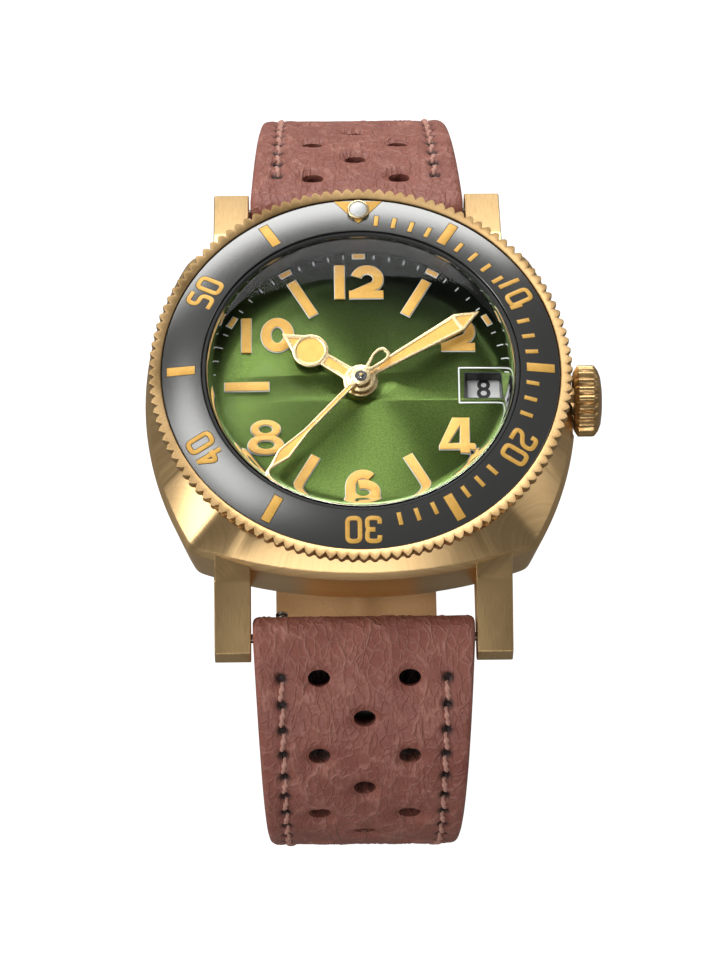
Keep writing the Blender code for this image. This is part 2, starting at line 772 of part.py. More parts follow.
def make_rotor():
    """The half-disc winding weight and the bearing it turns on."""
    outline = sector(12.4, 1.2, 185.0, 355.0, 16)
    web = plate("winding_rotor", [outline], 1.4, 1.75, "steel")
    rim = plate("rotor_rim", [sector(12.4, 10.2, 185.0, 355.0, 16)], 1.3, 2.1, None)
    hub = turned_ring("rotor_hub", 0.85, 1.9, 1.3, 1.85, None, steps=24)
    join(web, rim, hub)
    profile = [(0.0, 2.55), (1.5, 2.55), (1.5, 2.0), (0.7, 2.0), (0.7, 1.25), (0.0, 1.25)]
    turned("rotor_bearing", profile, "steel", steps=20, closed=False)


def make_motion_works():
    """The cannon pinion, minute wheel and hour wheel below the dial."""
    centre = polar(MINUTE_WHEEL_DISTANCE, MINUTE_WHEEL_DIRECTION)
    minute_rim, cannon_leaf = pitch_radii(MINUTE_WHEEL_DISTANCE, MINUTE_TEETH, CANNON_TEETH)
    hour_rim, minute_leaf = pitch_radii(MINUTE_WHEEL_DISTANCE, HOUR_TEETH, MINUTE_PINION)
    cannon = turned_ring("cannon_pinion", 0.46, 0.66, 7.3, 10.2, "steel", steps=16)
    join(cannon, wheel("cannon_leaves", CANNON_TEETH, cannon_leaf, 7.3, 7.52, (0, 0), 0.55, None))
    wheel_on_arbor(
        "minute_wheel",
        (MINUTE_TEETH, minute_rim, 7.35, 7.48),
        (MINUTE_PINION, minute_leaf, 7.58, 7.8),
        (0.2, 7.25, 8.0),
        centre,
    )
    hour = turned_ring("hour_wheel", 0.72, 0.95, 7.6, 9.75, "brass", steps=20)
    join(hour, wheel("hour_rim", HOUR_TEETH, hour_rim, 7.62, 7.75, (0, 0), 0.82, None))


# ---------------------------------------------------------------- crown
def make_crown():
    along = Matrix.Translation((0.0, 0.0, CROWN_AXIS_Z * MM)) @ Matrix.Rotation(
        math.pi / 2, 4, "Y"
    )
    flutes = tooth_points(CROWN_FLUTES, CROWN_VALLEY, CROWN_RADIUS)
    crown = plate("crown", [flutes], CROWN_START, CROWN_END, "bronze")
    bore = plate("crown_bore", [circle_points(2.0, 24)], CROWN_START - 1, 21.2, None)
    tube_profile = ring_profile(0.7, 1.22, 15.0, 20.9)
    tube = turned("crown_tube", tube_profile, "bronze", steps=20)
    gasket = turned("crown_gasket", ring_profile(1.27, 1.94, 19.5, 20.0), "rubber", steps=20)
    stem = turned(
        "winding_stem",
        [(0.0, 21.15), (0.4, 21.15), (0.4, 8.4), (0.0, 8.4)],
        "steel",
        steps=12,
        closed=False,
    )
    pinion = wheel("sliding_pinion", 10, 0.66, 8.9, 10.3, (0, 0), 0.44, "steel")
    for obj in (crown, bore, tube, gasket, stem, pinion):
        obj.matrix_world = along @ obj.matrix_world
    cut(crown, bore)


# ---------------------------------------------------------------- strap
def strap_path(start_angle, route, side):
    """Sample the outer face as (length, point, normal) about the spring bar.

    side is 1 for the 12 o'clock strap and -1 for the 6 o'clock strap.
    """
    angle = math.radians(start_angle)
    y = BAR_Y + STRAP_FOLD_RADIUS * math.cos(angle)
    z = BAR_Z + STRAP_FOLD_RADIUS * math.sin(angle)
    length = 0.0
    samples = [(length, y, z, angle)]
    for size, turn in route:
        run = size * math.radians(turn) if turn else size
        count = max(2, round(run / STRAP_STATION))
        for _ in range(count):
            change = -math.radians(turn) / count
            heading = angle + change / 2
            y += math.sin(heading) * run / count
            z -= math.cos(heading) * run / count
            angle += change
            length += run / count
            samples.append((length, y, z, angle))
    return [
        (s, Vector((0.0, side * py, pz)), Vector((0.0, side * math.cos(a), math.sin(a))))
        for s, py, pz, a in samples
    ]


def strap_half_width(length):
    share = min(1.0, length / STRAP_TAPER_LENGTH)
    return (STRAP_WIDTH_AT_LUG + share * (STRAP_WIDTH_AT_END - STRAP_WIDTH_AT_LUG)) / 2


def strap_thickness(length):
    share = min(1.0, length / STRAP_TAPER_LENGTH)
    return STRAP_THICK_AT_LUG + share * (STRAP_THICK_AT_END - STRAP_THICK_AT_LUG)


def strap_layer(name, path, outer_depth, inner_depth, tip, material):
    """Loft a layer of strap between two depths below its outer face.

    The depths are functions of length; tip is how far the end is rounded off.
    """
    total = path[-1][0]
    rings = []
    for length, point, normal in path:
        half = strap_half_width(length)
        left = total - length
        if left < tip:
            half *= 0.55 + 0.45 * math.sqrt(1.0 - (1.0 - left / tip) ** 2)
        top = point - normal * outer_depth(length)
        low = point - normal * inner_depth(length)
        side = Vector((half, 0.0, 0.0))
        rings.append([top - side, top + side, low + side, low - side])
    return loft(name, rings, material)


def make_strap(name, start_angle, route, side, tip):
    """Outer leather folded round the spring bar, and its lining."""
    path = strap_path(start_angle, route, side)
    leather = strap_layer(
        f"{name}_strap",
        path,
        lambda s: 0.0,
        lambda s: strap_thickness(s) - LINING_THICK - LAYER_GAP,
        tip,
        "leather",
    )
    bar = (0.0, side * BAR_Y, BAR_Z)
    fold = cylinder(f"{name}_fold", STRAP_FOLD_RADIUS, STRAP_WIDTH_AT_LUG, bar, "X", sides=24)
    bore = cylinder(f"{name}_bar_bore", 1.0, 30.0, bar, "X", sides=16)
    notch = block(
        f"{name}_release_notch",
        (-8.6, side * BAR_Y - 0.9 - (1.5 if side > 0 else 0.0), BAR_Z - 2.6),
        (-4.6, side * BAR_Y + 0.9 + (1.5 if side < 0 else 0.0), BAR_Z + 0.6),
    )
    join(leather, fold)
    cut(leather, bore, notch)
    lining_path = [sample for sample in path if sample[0] > 5.0]
    strap_layer(
        f"{name}_strap_lining",
        lining_path,
        lambda s: strap_thickness(s) - LINING_THICK,
        strap_thickness,
        tip,
        "lining",
    )
    return path, leather


def punch(name, path, x, length, leather, lining):
    """A round hole through both layers of a strap, square to its outer face."""
    after = next(i for i, sample in enumerate(path) if sample[0] >= length)
    first, second = path[after - 1], path[after]
    share = (length - first[0]) / (second[0] - first[0])
    point = first[1].lerp(second[1], share)
    normal = first[2].lerp(second[2], share).normalized()
    hole = cylinder(name, HOLE_RADIUS, 9.0, (0, 0, 0), "Z", sides=6)
    hole.rotation_euler = normal.to_track_quat("Z", "Y").to_euler()
    hole.location = (point + Vector((x, 0.0, 0.0))) * MM
    cut(leather, hole)
    if length > LINING_HOLE_START:
        cut(lining, hole)


def make_rally_holes(name, path, leather, rows):
    """Three columns of holes near the lugs, staggered like bricks."""
    lining = bpy.data.objects[f"{name}_strap_lining"]
    for row in range(rows):
        length = HOLE_FIRST_ROW + HOLE_ROW_PITCH * row
        columns = [-HOLE_COLUMN, HOLE_COLUMN] if row % 2 == 0 else [0.0]
        for column in columns:
            punch(f"{name}_hole_{row}_{column:+.0f}", path, column, length, leather, lining)


def make_adjusting_holes(path, leather):
    """A single row of holes in the long strap for the buckle's tongue."""
    lining = bpy.data.objects["lower_strap_lining"]
    for i in range(ADJUST_HOLES):
        length = ADJUST_FIRST + ADJUST_PITCH * i
        punch(f"adjusting_hole_{i}", path, 0.0, length, leather, lining)


def make_spring_bar(name, side):
    """A sprung bar whose thin ends sit in the lugs, with a sideways release knob."""
    profile = [
        (0.0, 11.3),
        (BAR_PIN_RADIUS, 11.3),
        (BAR_PIN_RADIUS, 9.75),
        (BAR_BODY_RADIUS, 9.75),
        (BAR_BODY_RADIUS, -9.75),
        (BAR_PIN_RADIUS, -9.75),
        (BAR_PIN_RADIUS, -11.3),
        (0.0, -11.3),
    ]
    bar = turned(f"{name}_spring_bar", profile, "steel", steps=16, closed=False)
    bar.rotation_euler = (0.0, math.pi / 2, 0.0)
    bar.location = (0.0, side * BAR_Y * MM, BAR_Z * MM)
    inward = side * (BAR_Y - BAR_BODY_RADIUS - 0.9)
    cylinder(f"{name}_release_knob", 0.55, 1.5, (-7.3, inward, BAR_Z), "Y", "steel", sides=14)


# ---------------------------------------------------------------- buckle
def make_buckle(path):
    """Pin buckle on the end of the 12 o'clock strap, lying in its plane."""
    _, end, normal = path[-1]
    axis_z = end.z - normal.z * BUCKLE_FOLD_RADIUS
    axis = (0.0, end.y, axis_z)
    leather = bpy.data.objects["upper_strap"]
    width = STRAP_WIDTH_AT_END
    join(leather, cylinder("buckle_fold", BUCKLE_FOLD_RADIUS, width, axis, "X", sides=20))
    cut(leather, cylinder("buckle_bore", BUCKLE_BAR_RADIUS + 0.15, 30.0, axis, "X", sides=14))
    slot_low = (-1.5, end.y - 2.0, axis_z - 2.2)
    slot_high = (1.5, end.y + 2.6, axis_z + 2.2)
    cut(leather, block("tongue_slot", slot_low, slot_high))
    lining = bpy.data.objects["upper_strap_lining"]
    end_low = (-12.0, end.y - 3.0, axis_z - 2)
    end_high = (12.0, end.y + 3.0, axis_z + 3)
    cut(lining, block("lining_end", end_low, end_high))

    inner = BUCKLE_INNER_HALF
    outer = inner + BUCKLE_ARM
    front = end.y - BUCKLE_REACH
    frame_outline = rounded_box(-outer, outer, front, end.y + 1.2, 2.4)
    opening = rounded_box(-inner, inner, front + 1.9, end.y + 3.0, 1.0)
    frame = plate("buckle_frame", [frame_outline], axis_z - 0.95, axis_z + 0.95, "bronze")
    cut(frame, plate("buckle_opening", [opening], axis_z - 3, axis_z + 3, None))
    cut(frame, cylinder("buckle_bar_hole", BUCKLE_BAR_RADIUS + 0.05, 19.6, axis, "X", sides=14))
    cylinder("buckle_bar", BUCKLE_BAR_RADIUS, 19.4, axis, "X", "steel", sides=14)

    drop = axis_z - 0.95 - 0.5
    tongue = loft(
        "buckle_tongue",
        [
            tongue_section(end.y - 0.9, axis_z - 0.9, 0.8, 0.5),
            tongue_section(end.y - 2.6, drop, 0.75, 0.4),
            tongue_section(front + 0.5, drop, 0.6, 0.4),
        ],
        "bronze",
    )
    join(tongue, cylinder("tongue_eye", 1.25, 1.7, axis, "X", sides=16))
    cut(tongue, cylinder("tongue_bore", BUCKLE_BAR_RADIUS + 0.06, 5.0, axis, "X", sides=14))
    return axis


def tongue_section(y, z, half_width, half_height):
    return [
        (-half_width, y, z - half_height),
        (half_width, y, z - half_height),
        (half_width, y, z + half_height),
        (-half_width, y, z + half_height),
    ]


def rounded_box(left, right, low, high, radius):
    """A rectangle with rounded corners, drawn anticlockwise."""
    centres = [
        (right - radius, high - radius, 0),
        (left + radius, high - radius, 90),
        (left + radius, low + radius, 180),
        (right - radius, low + radius, 270),
    ]
    points = []
    for cx, cy, start in centres:
        for i in range(5):
            x, y = polar(radius, start + 22.5 * i)
            points.append((cx + x, cy + y))
    return points


def make_keepers(axis):
    """Two leather loops round the flat end of the 12 o'clock strap."""
    strap_top = axis[2] - BUCKLE_FOLD_RADIUS + STRAP_THICK_AT_END
    strap_low = axis[2] - BUCKLE_FOLD_RADIUS
    half = STRAP_WIDTH_AT_END / 2 + 0.3
    for name, start in (("fixed_keeper", 3.2), ("free_keeper", 11.7)):
        near = axis[1] + start
        far = near + KEEPER_WIDTH
        top = strap_top + 0.15
        low = strap_low - KEEPER_SLOT
        low_corner = (-half - KEEPER_WALL, near, low - KEEPER_WALL)
        high_corner = (half + KEEPER_WALL, far, top + KEEPER_WALL)
        keeper = block(name, low_corner, high_corner, "leather")
        cut(keeper, block(f"{name}_slot", (-half, near - 1, low), (half, far + 1, top)))


def make_watch():
    make_mid_case()
    make_case_back()
    make_crystal()
    make_rehaut()
    make_bezel()
    make_lume_pip()
    make_bezel_mechanism()
    make_dial()
    make_hands()
    make_escapement(make_going_train())
    make_main_plate()
    make_bridges()
    make_rotor()
    make_motion_works()
    make_crown()
    upper_path, upper = make_strap("upper", UPPER_START_ANGLE, UPPER_ROUTE, 1, 0.0)
    lower_path, lower = make_strap("lower", LOWER_START_ANGLE, LOWER_ROUTE, -1, 9.0)
    make_rally_holes("upper", upper_path, upper, 6)
    make_rally_holes("lower", lower_path, lower, 8)
    make_adjusting_holes(lower_path, lower)
    make_spring_bar("upper", 1)
    make_spring_bar("lower", -1)
    make_keepers(make_buckle(upper_path))


make_watch()
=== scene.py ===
import json
import math

import bmesh
import bpy
from mathutils import Euler, Matrix, Vector, noise


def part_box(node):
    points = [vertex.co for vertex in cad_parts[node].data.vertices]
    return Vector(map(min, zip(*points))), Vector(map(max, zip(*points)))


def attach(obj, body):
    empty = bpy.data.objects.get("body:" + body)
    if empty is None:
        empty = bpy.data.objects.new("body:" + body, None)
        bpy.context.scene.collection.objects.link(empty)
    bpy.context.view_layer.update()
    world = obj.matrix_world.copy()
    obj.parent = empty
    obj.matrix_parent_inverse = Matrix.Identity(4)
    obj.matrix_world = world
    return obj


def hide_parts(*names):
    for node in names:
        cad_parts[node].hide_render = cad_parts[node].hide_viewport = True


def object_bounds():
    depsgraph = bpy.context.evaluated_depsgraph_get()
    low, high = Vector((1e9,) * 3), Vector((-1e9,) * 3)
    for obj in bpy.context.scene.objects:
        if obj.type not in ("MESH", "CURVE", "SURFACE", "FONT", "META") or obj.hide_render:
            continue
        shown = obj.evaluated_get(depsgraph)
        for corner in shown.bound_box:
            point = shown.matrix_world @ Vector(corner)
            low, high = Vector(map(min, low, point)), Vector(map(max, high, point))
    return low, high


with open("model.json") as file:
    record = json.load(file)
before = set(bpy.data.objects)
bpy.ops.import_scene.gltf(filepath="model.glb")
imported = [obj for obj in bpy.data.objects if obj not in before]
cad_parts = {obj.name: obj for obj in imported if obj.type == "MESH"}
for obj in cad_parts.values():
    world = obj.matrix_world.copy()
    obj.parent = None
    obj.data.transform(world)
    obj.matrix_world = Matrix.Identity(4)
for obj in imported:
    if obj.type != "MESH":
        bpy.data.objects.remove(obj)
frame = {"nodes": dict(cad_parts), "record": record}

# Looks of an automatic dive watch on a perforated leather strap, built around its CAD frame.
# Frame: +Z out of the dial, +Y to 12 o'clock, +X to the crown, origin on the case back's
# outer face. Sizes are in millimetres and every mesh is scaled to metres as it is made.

MM = 0.001
CAD_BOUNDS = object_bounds()

# ---------------------------------------------------------------- sizes shared with the CAD
CASE_HALF_WIDTH = 19.5
CASE_HALF_HEIGHT = 18.0
SIDE_ARC_RADIUS = 30.6
END_ARC_RADIUS = 42.0
CASE_BOTTOM = 1.0
CASE_EDGE = 6.5
CASE_CHAMFER_TOP = 7.4
CASE_TOP = 9.4
SHOULDER_RADIUS = 17.9
NECK_OUTER = 15.2
NECK_INNER = 14.3
NECK_TOP = 12.1
CASE_BORE = 14.6
DIAL_SEAT = 8.25
BACK_SEAT_RADIUS = 15.9
BACK_SEAT = 1.5
LUG_INNER = 10.05
LUG_OUTER = 13.3
BAR_Y = 22.0
BAR_Z = 3.2
BAR_PIN_RADIUS = 0.4
BAR_BODY_RADIUS = 0.85

BEZEL_INNER = 15.6
BEZEL_TIP = 19.0
BEZEL_VALLEY = 18.5
BEZEL_TEETH = 120
BEZEL_LOW = 9.85
BEZEL_RIM_LOW = 11.45
BEZEL_TOP = 12.65
BEZEL_SKIRT_RADIUS = 17.7
INSERT_INNER = 14.3
INSERT_OUTER = 17.87
INSERT_INNER_Z = 13.1
INSERT_OUTER_Z = 12.5
INSERT_THICK = 0.57
PIP_RADIUS = 0.95
PIP_CENTRE = 16.5
PIP_RISE = 0.52

CRYSTAL_RADIUS = 13.9
CRYSTAL_LOW = 11.25
CRYSTAL_EDGE_TOP = 13.2
CRYSTAL_TOP = 15.0
CRYSTAL_HOLLOW_TOP = 12.3

DIAL_RADIUS = 14.0
DIAL_LOW = 8.3
DIAL_TOP = 8.8
DIAL_HOLE = 1.15
WINDOW_X = 10.6
WINDOW_WIDTH = 3.3
WINDOW_HEIGHT = 2.5
DATE_DISC_TOP = 7.65

CROWN_AXIS_Z = 6.5
CROWN_RADIUS = 3.25
CROWN_VALLEY = 2.95
CROWN_FLUTES = 22
CROWN_START = 19.3
CROWN_END = 21.9

HOUR_ANGLE = 304.8
MINUTE_ANGLE = 57.7
SECONDS_ANGLE = 222.0
HOUR_Z = (9.5, 9.7)
MINUTE_Z = (9.95, 10.15)
SECONDS_Z = (10.4, 10.55)

STRAP_FOLD_RADIUS = 1.9
STRAP_WIDTH_AT_LUG = 19.8
STRAP_WIDTH_AT_END = 16.0
STRAP_TAPER_LENGTH = 40.0
STRAP_THICK_AT_LUG = 3.6
STRAP_THICK_AT_END = 2.2
LINING_THICK = 0.7
LAYER_GAP = 0.05
UPPER_START_ANGLE = 66.5
UPPER_ROUTE = [(40.0, 34.5), (24.0, 30.0), (15.4, 92.0), (17.0, 0.0)]
LOWER_START_ANGLE = 69.9
LOWER_ROUTE = [(17.42, 93.1), (10.0, 0.0), (25.7, 66.8), (34.0, 0.0), (20.0, 25.0)]
HOLE_RADIUS = 1.0
HOLE_SQUASH = 0.8
HOLE_COLUMN = 4.05
HOLE_FIRST_ROW = 3.84
HOLE_ROW_PITCH = 3.82
LINING_HOLE_START = 9.0
ADJUST_FIRST = 80.5
ADJUST_PITCH = 6.0
ADJUST_HOLES = 4


# ---------------------------------------------------------------- small geometry helpers
def polar(radius, degrees):
    """A point on a circle, counted from the crown towards 12."""
    angle = math.radians(degrees)
    return Vector((radius * math.cos(angle), radius * math.sin(angle)))


def clockwise(degrees):
    """A turn about the dial's middle, from 12 o'clock towards 3."""
    return Matrix.Rotation(-math.radians(degrees), 4, "Z")


def smooth_step(low, high, value):
    """A soft ramp from 0 at low to 1 at high."""
    share = min(1.0, max(0.0, (value - low) / (high - low)))
    return share * share * (3.0 - 2.0 * share)


def rounded(points, radius, steps=3, closed=True):
    """Cut each corner of a line back and bridge it with a short curve."""
    points = [Vector(p) for p in points]
    count = len(points)
    result = []
    for i, corner in enumerate(points):
        if not closed and i in (0, count - 1):
            result.append(corner)
            continue
        before = points[i - 1] - corner
        after = points[(i + 1) % count] - corner
        start = corner + before.normalized() * min(radius, 0.45 * before.length)
        end = corner + after.normalized() * min(radius, 0.45 * after.length)
        for k in range(steps + 1):
            t = k / steps
            result.append(start * (1 - t) ** 2 + corner * 2 * t * (1 - t) + end * t * t)
    return result


def ellipse(half_width, half_height, first=0.0, last=360.0, centre=(0.0, 0.0), step=9.0):
    """Points along an ellipse between two directions in degrees."""
    count = max(2, round(abs(last - first) / step))
    closed = abs(last - first) >= 360.0
    angles = [first + (last - first) * i / count for i in range(count if closed else count + 1)]
    return [
        Vector(centre) + Vector((half_width * math.cos(a), half_height * math.sin(a)))
        for a in map(math.radians, angles)
    ]


def stroke(points, width, closed=False):
    """Outlines of a pen stroke of even width: one loop, or two for a closed stroke."""
    points = [Vector(p) for p in points]
    count = len(points)
    left, right = [], []
    for i, point in enumerate(points):
        before = points[i] - points[i - 1] if closed or i > 0 else points[1] - points[0]
        after = points[(i + 1) % count] - point if closed or i < count - 1 else before
        before, after = before.normalized(), after.normalized()
        along = (before + after).normalized()
        across = Vector((-along.y, along.x))
        stretch = 1.0 / max(0.5, across.dot(Vector((-before.y, before.x))))
        left.append(point + across * (width / 2 * stretch))
        right.append(point - across * (width / 2 * stretch))
    if closed:
        return [left, right]
    return [left + right[::-1]]


# ---------------------------------------------------------------- mesh helpers
POLE_RADIUS = 1e-6
WELD_METRES = 1e-7


def put_in_scene(name, data):
    """A new object that holds data, linked to the scene."""
    made = bpy.data.objects.new(name, data)
    bpy.context.scene.collection.objects.link(made)
    return made


def finished_mesh(drawn):
    """The mesh of an object with its curve or modifiers applied; the object is removed."""
    bpy.context.view_layer.update()
    graph = bpy.context.evaluated_depsgraph_get()
    mesh = bpy.data.meshes.new_from_object(drawn.evaluated_get(graph))
    bpy.data.objects.remove(drawn, do_unlink=True)
    return mesh


def scaled_mesh(name, bm):
    """Close a bmesh drawn in millimetres into a mesh in metres."""
    bmesh.ops.scale(bm, vec=(MM, MM, MM), verts=bm.verts)
    bmesh.ops.recalc_face_normals(bm, faces=bm.faces)
    mesh = bpy.data.meshes.new(name)
    bm.to_mesh(mesh)
    bm.free()
    return mesh


def add_piece(name, mesh, paint, body, stands_for=(), sharp=35.0):
    """Show a mesh as a piece that rides on a body and may stand for CAD nodes."""
    piece = put_in_scene(name, mesh)
    mesh.materials.clear()
    mesh.materials.append(PAINTS[paint])
    mesh.shade_smooth()
    mesh.set_sharp_from_angle(angle=math.radians(sharp))
    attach(piece, body)
    if stands_for:
        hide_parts(*stands_for)


def skin(bm, first, second):
    """Faces between two rings of vertices; a ring of one vertex is a pole."""
    count = max(len(first), len(second))
    for i in range(count):
        j = (i + 1) % count
        if len(first) == 1:
            bm.faces.new((first[0], second[j], second[i]))
        elif len(second) == 1:
            bm.faces.new((first[i], first[j], second[0]))
        else:
            bm.faces.new((first[i], first[j], second[j], second[i]))


def skin_rings(rings, loop=False):
    """A bmesh through rings of points; loop joins the last ring to the first."""
    bm = bmesh.new()
    rows = [[bm.verts.new(point) for point in ring] for ring in rings]
    for first, second in zip(rows, rows[1:]):
        skin(bm, first, second)
    if loop:
        skin(bm, rows[-1], rows[0])
        return bm
    for row in (rows[0], rows[-1]):
        if len(row) > 1:
            bm.faces.new(row)
    return bm


def round_ring(radius, z, steps):
    """Points evenly round the Z axis."""
    return [(*polar(radius, 360.0 * i / steps), z) for i in range(steps)]


def turned(profile, steps=180, loop=True):
    """A profile of (radius, z) turned about the Z axis."""
    rings = [
        [(0.0, 0.0, z)] if radius < POLE_RADIUS else round_ring(radius, z, steps)
        for radius, z in profile
    ]
    return skin_rings(rings, loop)


def lathe_mesh(name, profile, edge, bends, sides):
    """A turned solid whose profile starts and ends on the Z axis, its corners rounded."""
    return scaled_mesh(name, turned(rounded(profile, edge, bends, closed=False), sides, loop=False))


def turned_piece(name, profile, paint, body, stands_for=(), steps=180, loop=True, edge=0.0):
    """A turned piece whose profile corners may be rounded by edge."""
    if edge:
        profile = rounded(profile, edge, closed=loop)
    add_piece(name, scaled_mesh(name, turned(profile, steps, loop)), paint, body, stands_for)


def plate_mesh(name, outlines, low, high, bevel=0.0, place=None):
    """A flat plate from closed outlines in XY, inner ones being holes, with bevelled edges."""
    curve = bpy.data.curves.new(name, "CURVE")
    curve.dimensions = "2D"
    curve.fill_mode = "BOTH"
    curve.extrude = ((high - low) / 2 - bevel) * MM
    curve.bevel_depth = bevel * MM
    curve.bevel_resolution = 1
    curve.offset = -bevel * MM
    for points in outlines:
        spline = curve.splines.new("POLY")
        spline.points.add(len(points) - 1)
        for point, (x, y) in zip(spline.points, points):
            point.co = (x * MM, y * MM, 0.0, 1.0)
        spline.use_cyclic_u = True
    mesh = finished_mesh(put_in_scene(name, curve))
    bm = bmesh.new()
    bm.from_mesh(mesh)
    bmesh.ops.remove_doubles(bm, verts=bm.verts, dist=WELD_METRES)
    bmesh.ops.translate(bm, vec=(0.0, 0.0, (high + low) / 2 * MM), verts=bm.verts)
    if place is not None:
        bmesh.ops.transform(bm, matrix=place, verts=bm.verts)
    bmesh.ops.recalc_face_normals(bm, faces=bm.faces)
    bm.to_mesh(mesh)
    bm.free()
    return mesh


def merged(name, meshes):
    """One mesh holding several."""
    bm = bmesh.new()
    for mesh in meshes:
        bm.from_mesh(mesh)
        bpy.data.meshes.remove(mesh)
    result = bpy.data.meshes.new(name)
    bm.to_mesh(result)
    bm.free()
    return result


def cylinder_mesh(name, radius, length, centre, axis, sides=48):
    """A round bar about an axis, used to cut holes."""
    bm = bmesh.new()
    bmesh.ops.create_cone(
        bm, cap_ends=True, segments=sides, radius1=radius, radius2=radius, depth=length
    )
    turn = Vector(axis).to_track_quat("Z", "Y").to_matrix()
    bmesh.ops.rotate(bm, cent=(0, 0, 0), matrix=turn, verts=bm.verts)
    bmesh.ops.translate(bm, vec=centre, verts=bm.verts)
    return scaled_mesh(name, bm)


def carve(mesh, cutters, operation="DIFFERENCE"):
    """Apply Booleans with cutter meshes and return the finished mesh."""
    body = put_in_scene("carved", mesh)
    tools = [put_in_scene("tool", cutter) for cutter in cutters]
    for tool in tools:
        modifier = body.modifiers.new("cut", "BOOLEAN")
        modifier.operation = operation
        modifier.solver = "EXACT"
        modifier.object = tool
    result = finished_mesh(body)
    for tool in tools:
        bpy.data.objects.remove(tool, do_unlink=True)
    result.materials.clear()
    return result


# ---------------------------------------------------------------- material helpers
class Paint:
    """A node material whose Principled shader is filled in step by step."""

    def __init__(self, name, colour, roughness, metallic=0.0):
        self.material = bpy.data.materials.new(name)
        self.material.use_nodes = True
        self.tree = self.material.node_tree
        self.shader = self.tree.nodes["Principled BSDF"]
        self.set("Base Color", (*colour, 1.0))
        self.set("Roughness", roughness)
        self.set("Metallic", metallic)
        self.coordinates = self.node("ShaderNodeTexCoord").outputs["Object"]

    def set(self, socket, value):
        """Give a shader socket a value, or link it to another node's output."""
        self.feed(self.shader.inputs[socket], value)

    def feed(self, socket, value):
        if isinstance(value, bpy.types.NodeSocket):
            self.tree.links.new(value, socket)
        else:
            socket.default_value = value

    def node(self, kind, settings=None, **inputs):
        made = self.tree.nodes.new(kind)
        for key, value in (settings or {}).items():
            setattr(made, key, value)
        for key, value in inputs.items():
            self.feed(made.inputs[key.replace("_", " ")], value)
        return made

    def maths(self, operation, first, second=0.0):
        made = self.node("ShaderNodeMath", {"operation": operation})
        self.feed(made.inputs[0], first)
        self.feed(made.inputs[1], second)
        return made.outputs[0]

    def noise(self, scale, detail=3.0, roughness=0.55, vector=None):
        made = self.node("ShaderNodeTexNoise", Scale=scale, Detail=detail, Roughness=roughness)
        self.feed(made.inputs["Vector"], vector or self.coordinates)
        return made.outputs["Fac"]

    def remap(self, value, low, high, new_low, new_high):
        made = self.node("ShaderNodeMapRange")
        self.feed(made.inputs["Value"], value)
        limits = {"From Min": low, "From Max": high, "To Min": new_low, "To Max": new_high}
        for key, limit in limits.items():
            made.inputs[key].default_value = limit
        return made.outputs["Result"]

    def blend(self, factor, first, second, mode="MIX"):
        made = self.node("ShaderNodeMix", {"data_type": "RGBA", "blend_type": mode})
        self.feed(made.inputs[0], factor)
        for socket, value in ((made.inputs[6], first), (made.inputs[7], second)):
            self.feed(socket, (*value, 1.0) if isinstance(value, tuple) else value)
        return made.outputs[2]

    def either(self, factor, first, second):
        """A shader between two others."""
        made = self.node("ShaderNodeMixShader")
        for socket, value in zip(made.inputs, (factor, first, second)):
            self.feed(socket, value)
        return made.outputs[0]

    def weighted(self, first, share, second):
        """The given share of one value and the rest of another."""
        part = self.maths("MULTIPLY", first, share)
        return self.maths("ADD", part, self.maths("MULTIPLY", second, 1.0 - share))

    def drawn_round(self, amount, rotation):
        """Highlights drawn out round the Z axis, as turned or brushed metal shows them."""
        self.set("Anisotropic", amount)
        self.set("Anisotropic Rotation", rotation)
        tangent = self.node("ShaderNodeTangent", {"direction_type": "RADIAL", "axis": "Z"})
        self.set("Tangent", tangent.outputs[0])

    def bump(self, height, distance_mm, strength, normal=None):
        made = self.node("ShaderNodeBump", Strength=strength, Distance=distance_mm * MM)
        self.feed(made.inputs["Height"], height)
        if normal is not None:
            self.feed(made.inputs["Normal"], normal)
        self.set("Normal", made.outputs["Normal"])
        return made.outputs["Normal"]

    def polar_vector(self, around, across):
        """Coordinates that vary slowly round the Z axis and quickly away from it."""
        x, y, z = self.node("ShaderNodeSeparateXYZ", Vector=self.coordinates).outputs
        squares = self.maths("ADD", self.maths("POWER", x, 2.0), self.maths("POWER", y, 2.0))
        radius = self.maths("SQRT", squares)
        made = self.node("ShaderNodeCombineXYZ")
        for i, part in enumerate((x, y)):
            self.feed(made.inputs[i], self.maths("MULTIPLY", self.maths("DIVIDE", part, radius), around))
        self.feed(made.inputs[2], self.maths("MULTIPLY", self.maths("ADD", radius, z), across))
        return made.outputs[0]

    def stretched(self, x, y, z):
        """Object coordinates scaled differently along each axis."""
        made = self.node("ShaderNodeMapping", Vector=self.coordinates)
        made.inputs["Scale"].default_value = (x, y, z)
        return made.outputs["Vector"]

    def brushed_along(self, vector, roughness, spread, depth_mm):
        """Fine lines in roughness and bump from a noise on stretched coordinates."""
        lines = self.noise(1.0, 4.0, 0.65, vector)
        self.set("Roughness", self.remap(lines, 0.3, 0.7, roughness - spread, roughness + spread))
        self.bump(lines, depth_mm, 0.6)
        return lines


BRONZE_LIT = (0.78, 0.54, 0.27)
BRONZE_DEEP = (0.44, 0.27, 0.11)
# The highlight's rotation in whole turns.
ACROSS_THE_RADIUS = 0.25
# Metres from the dial's middle along Y where the lugs' straight brushing begins and is complete.
LUG_BRUSH_START = 0.0178
LUG_BRUSH_FULL = 0.0192
SAPPHIRE_IOR = 1.77


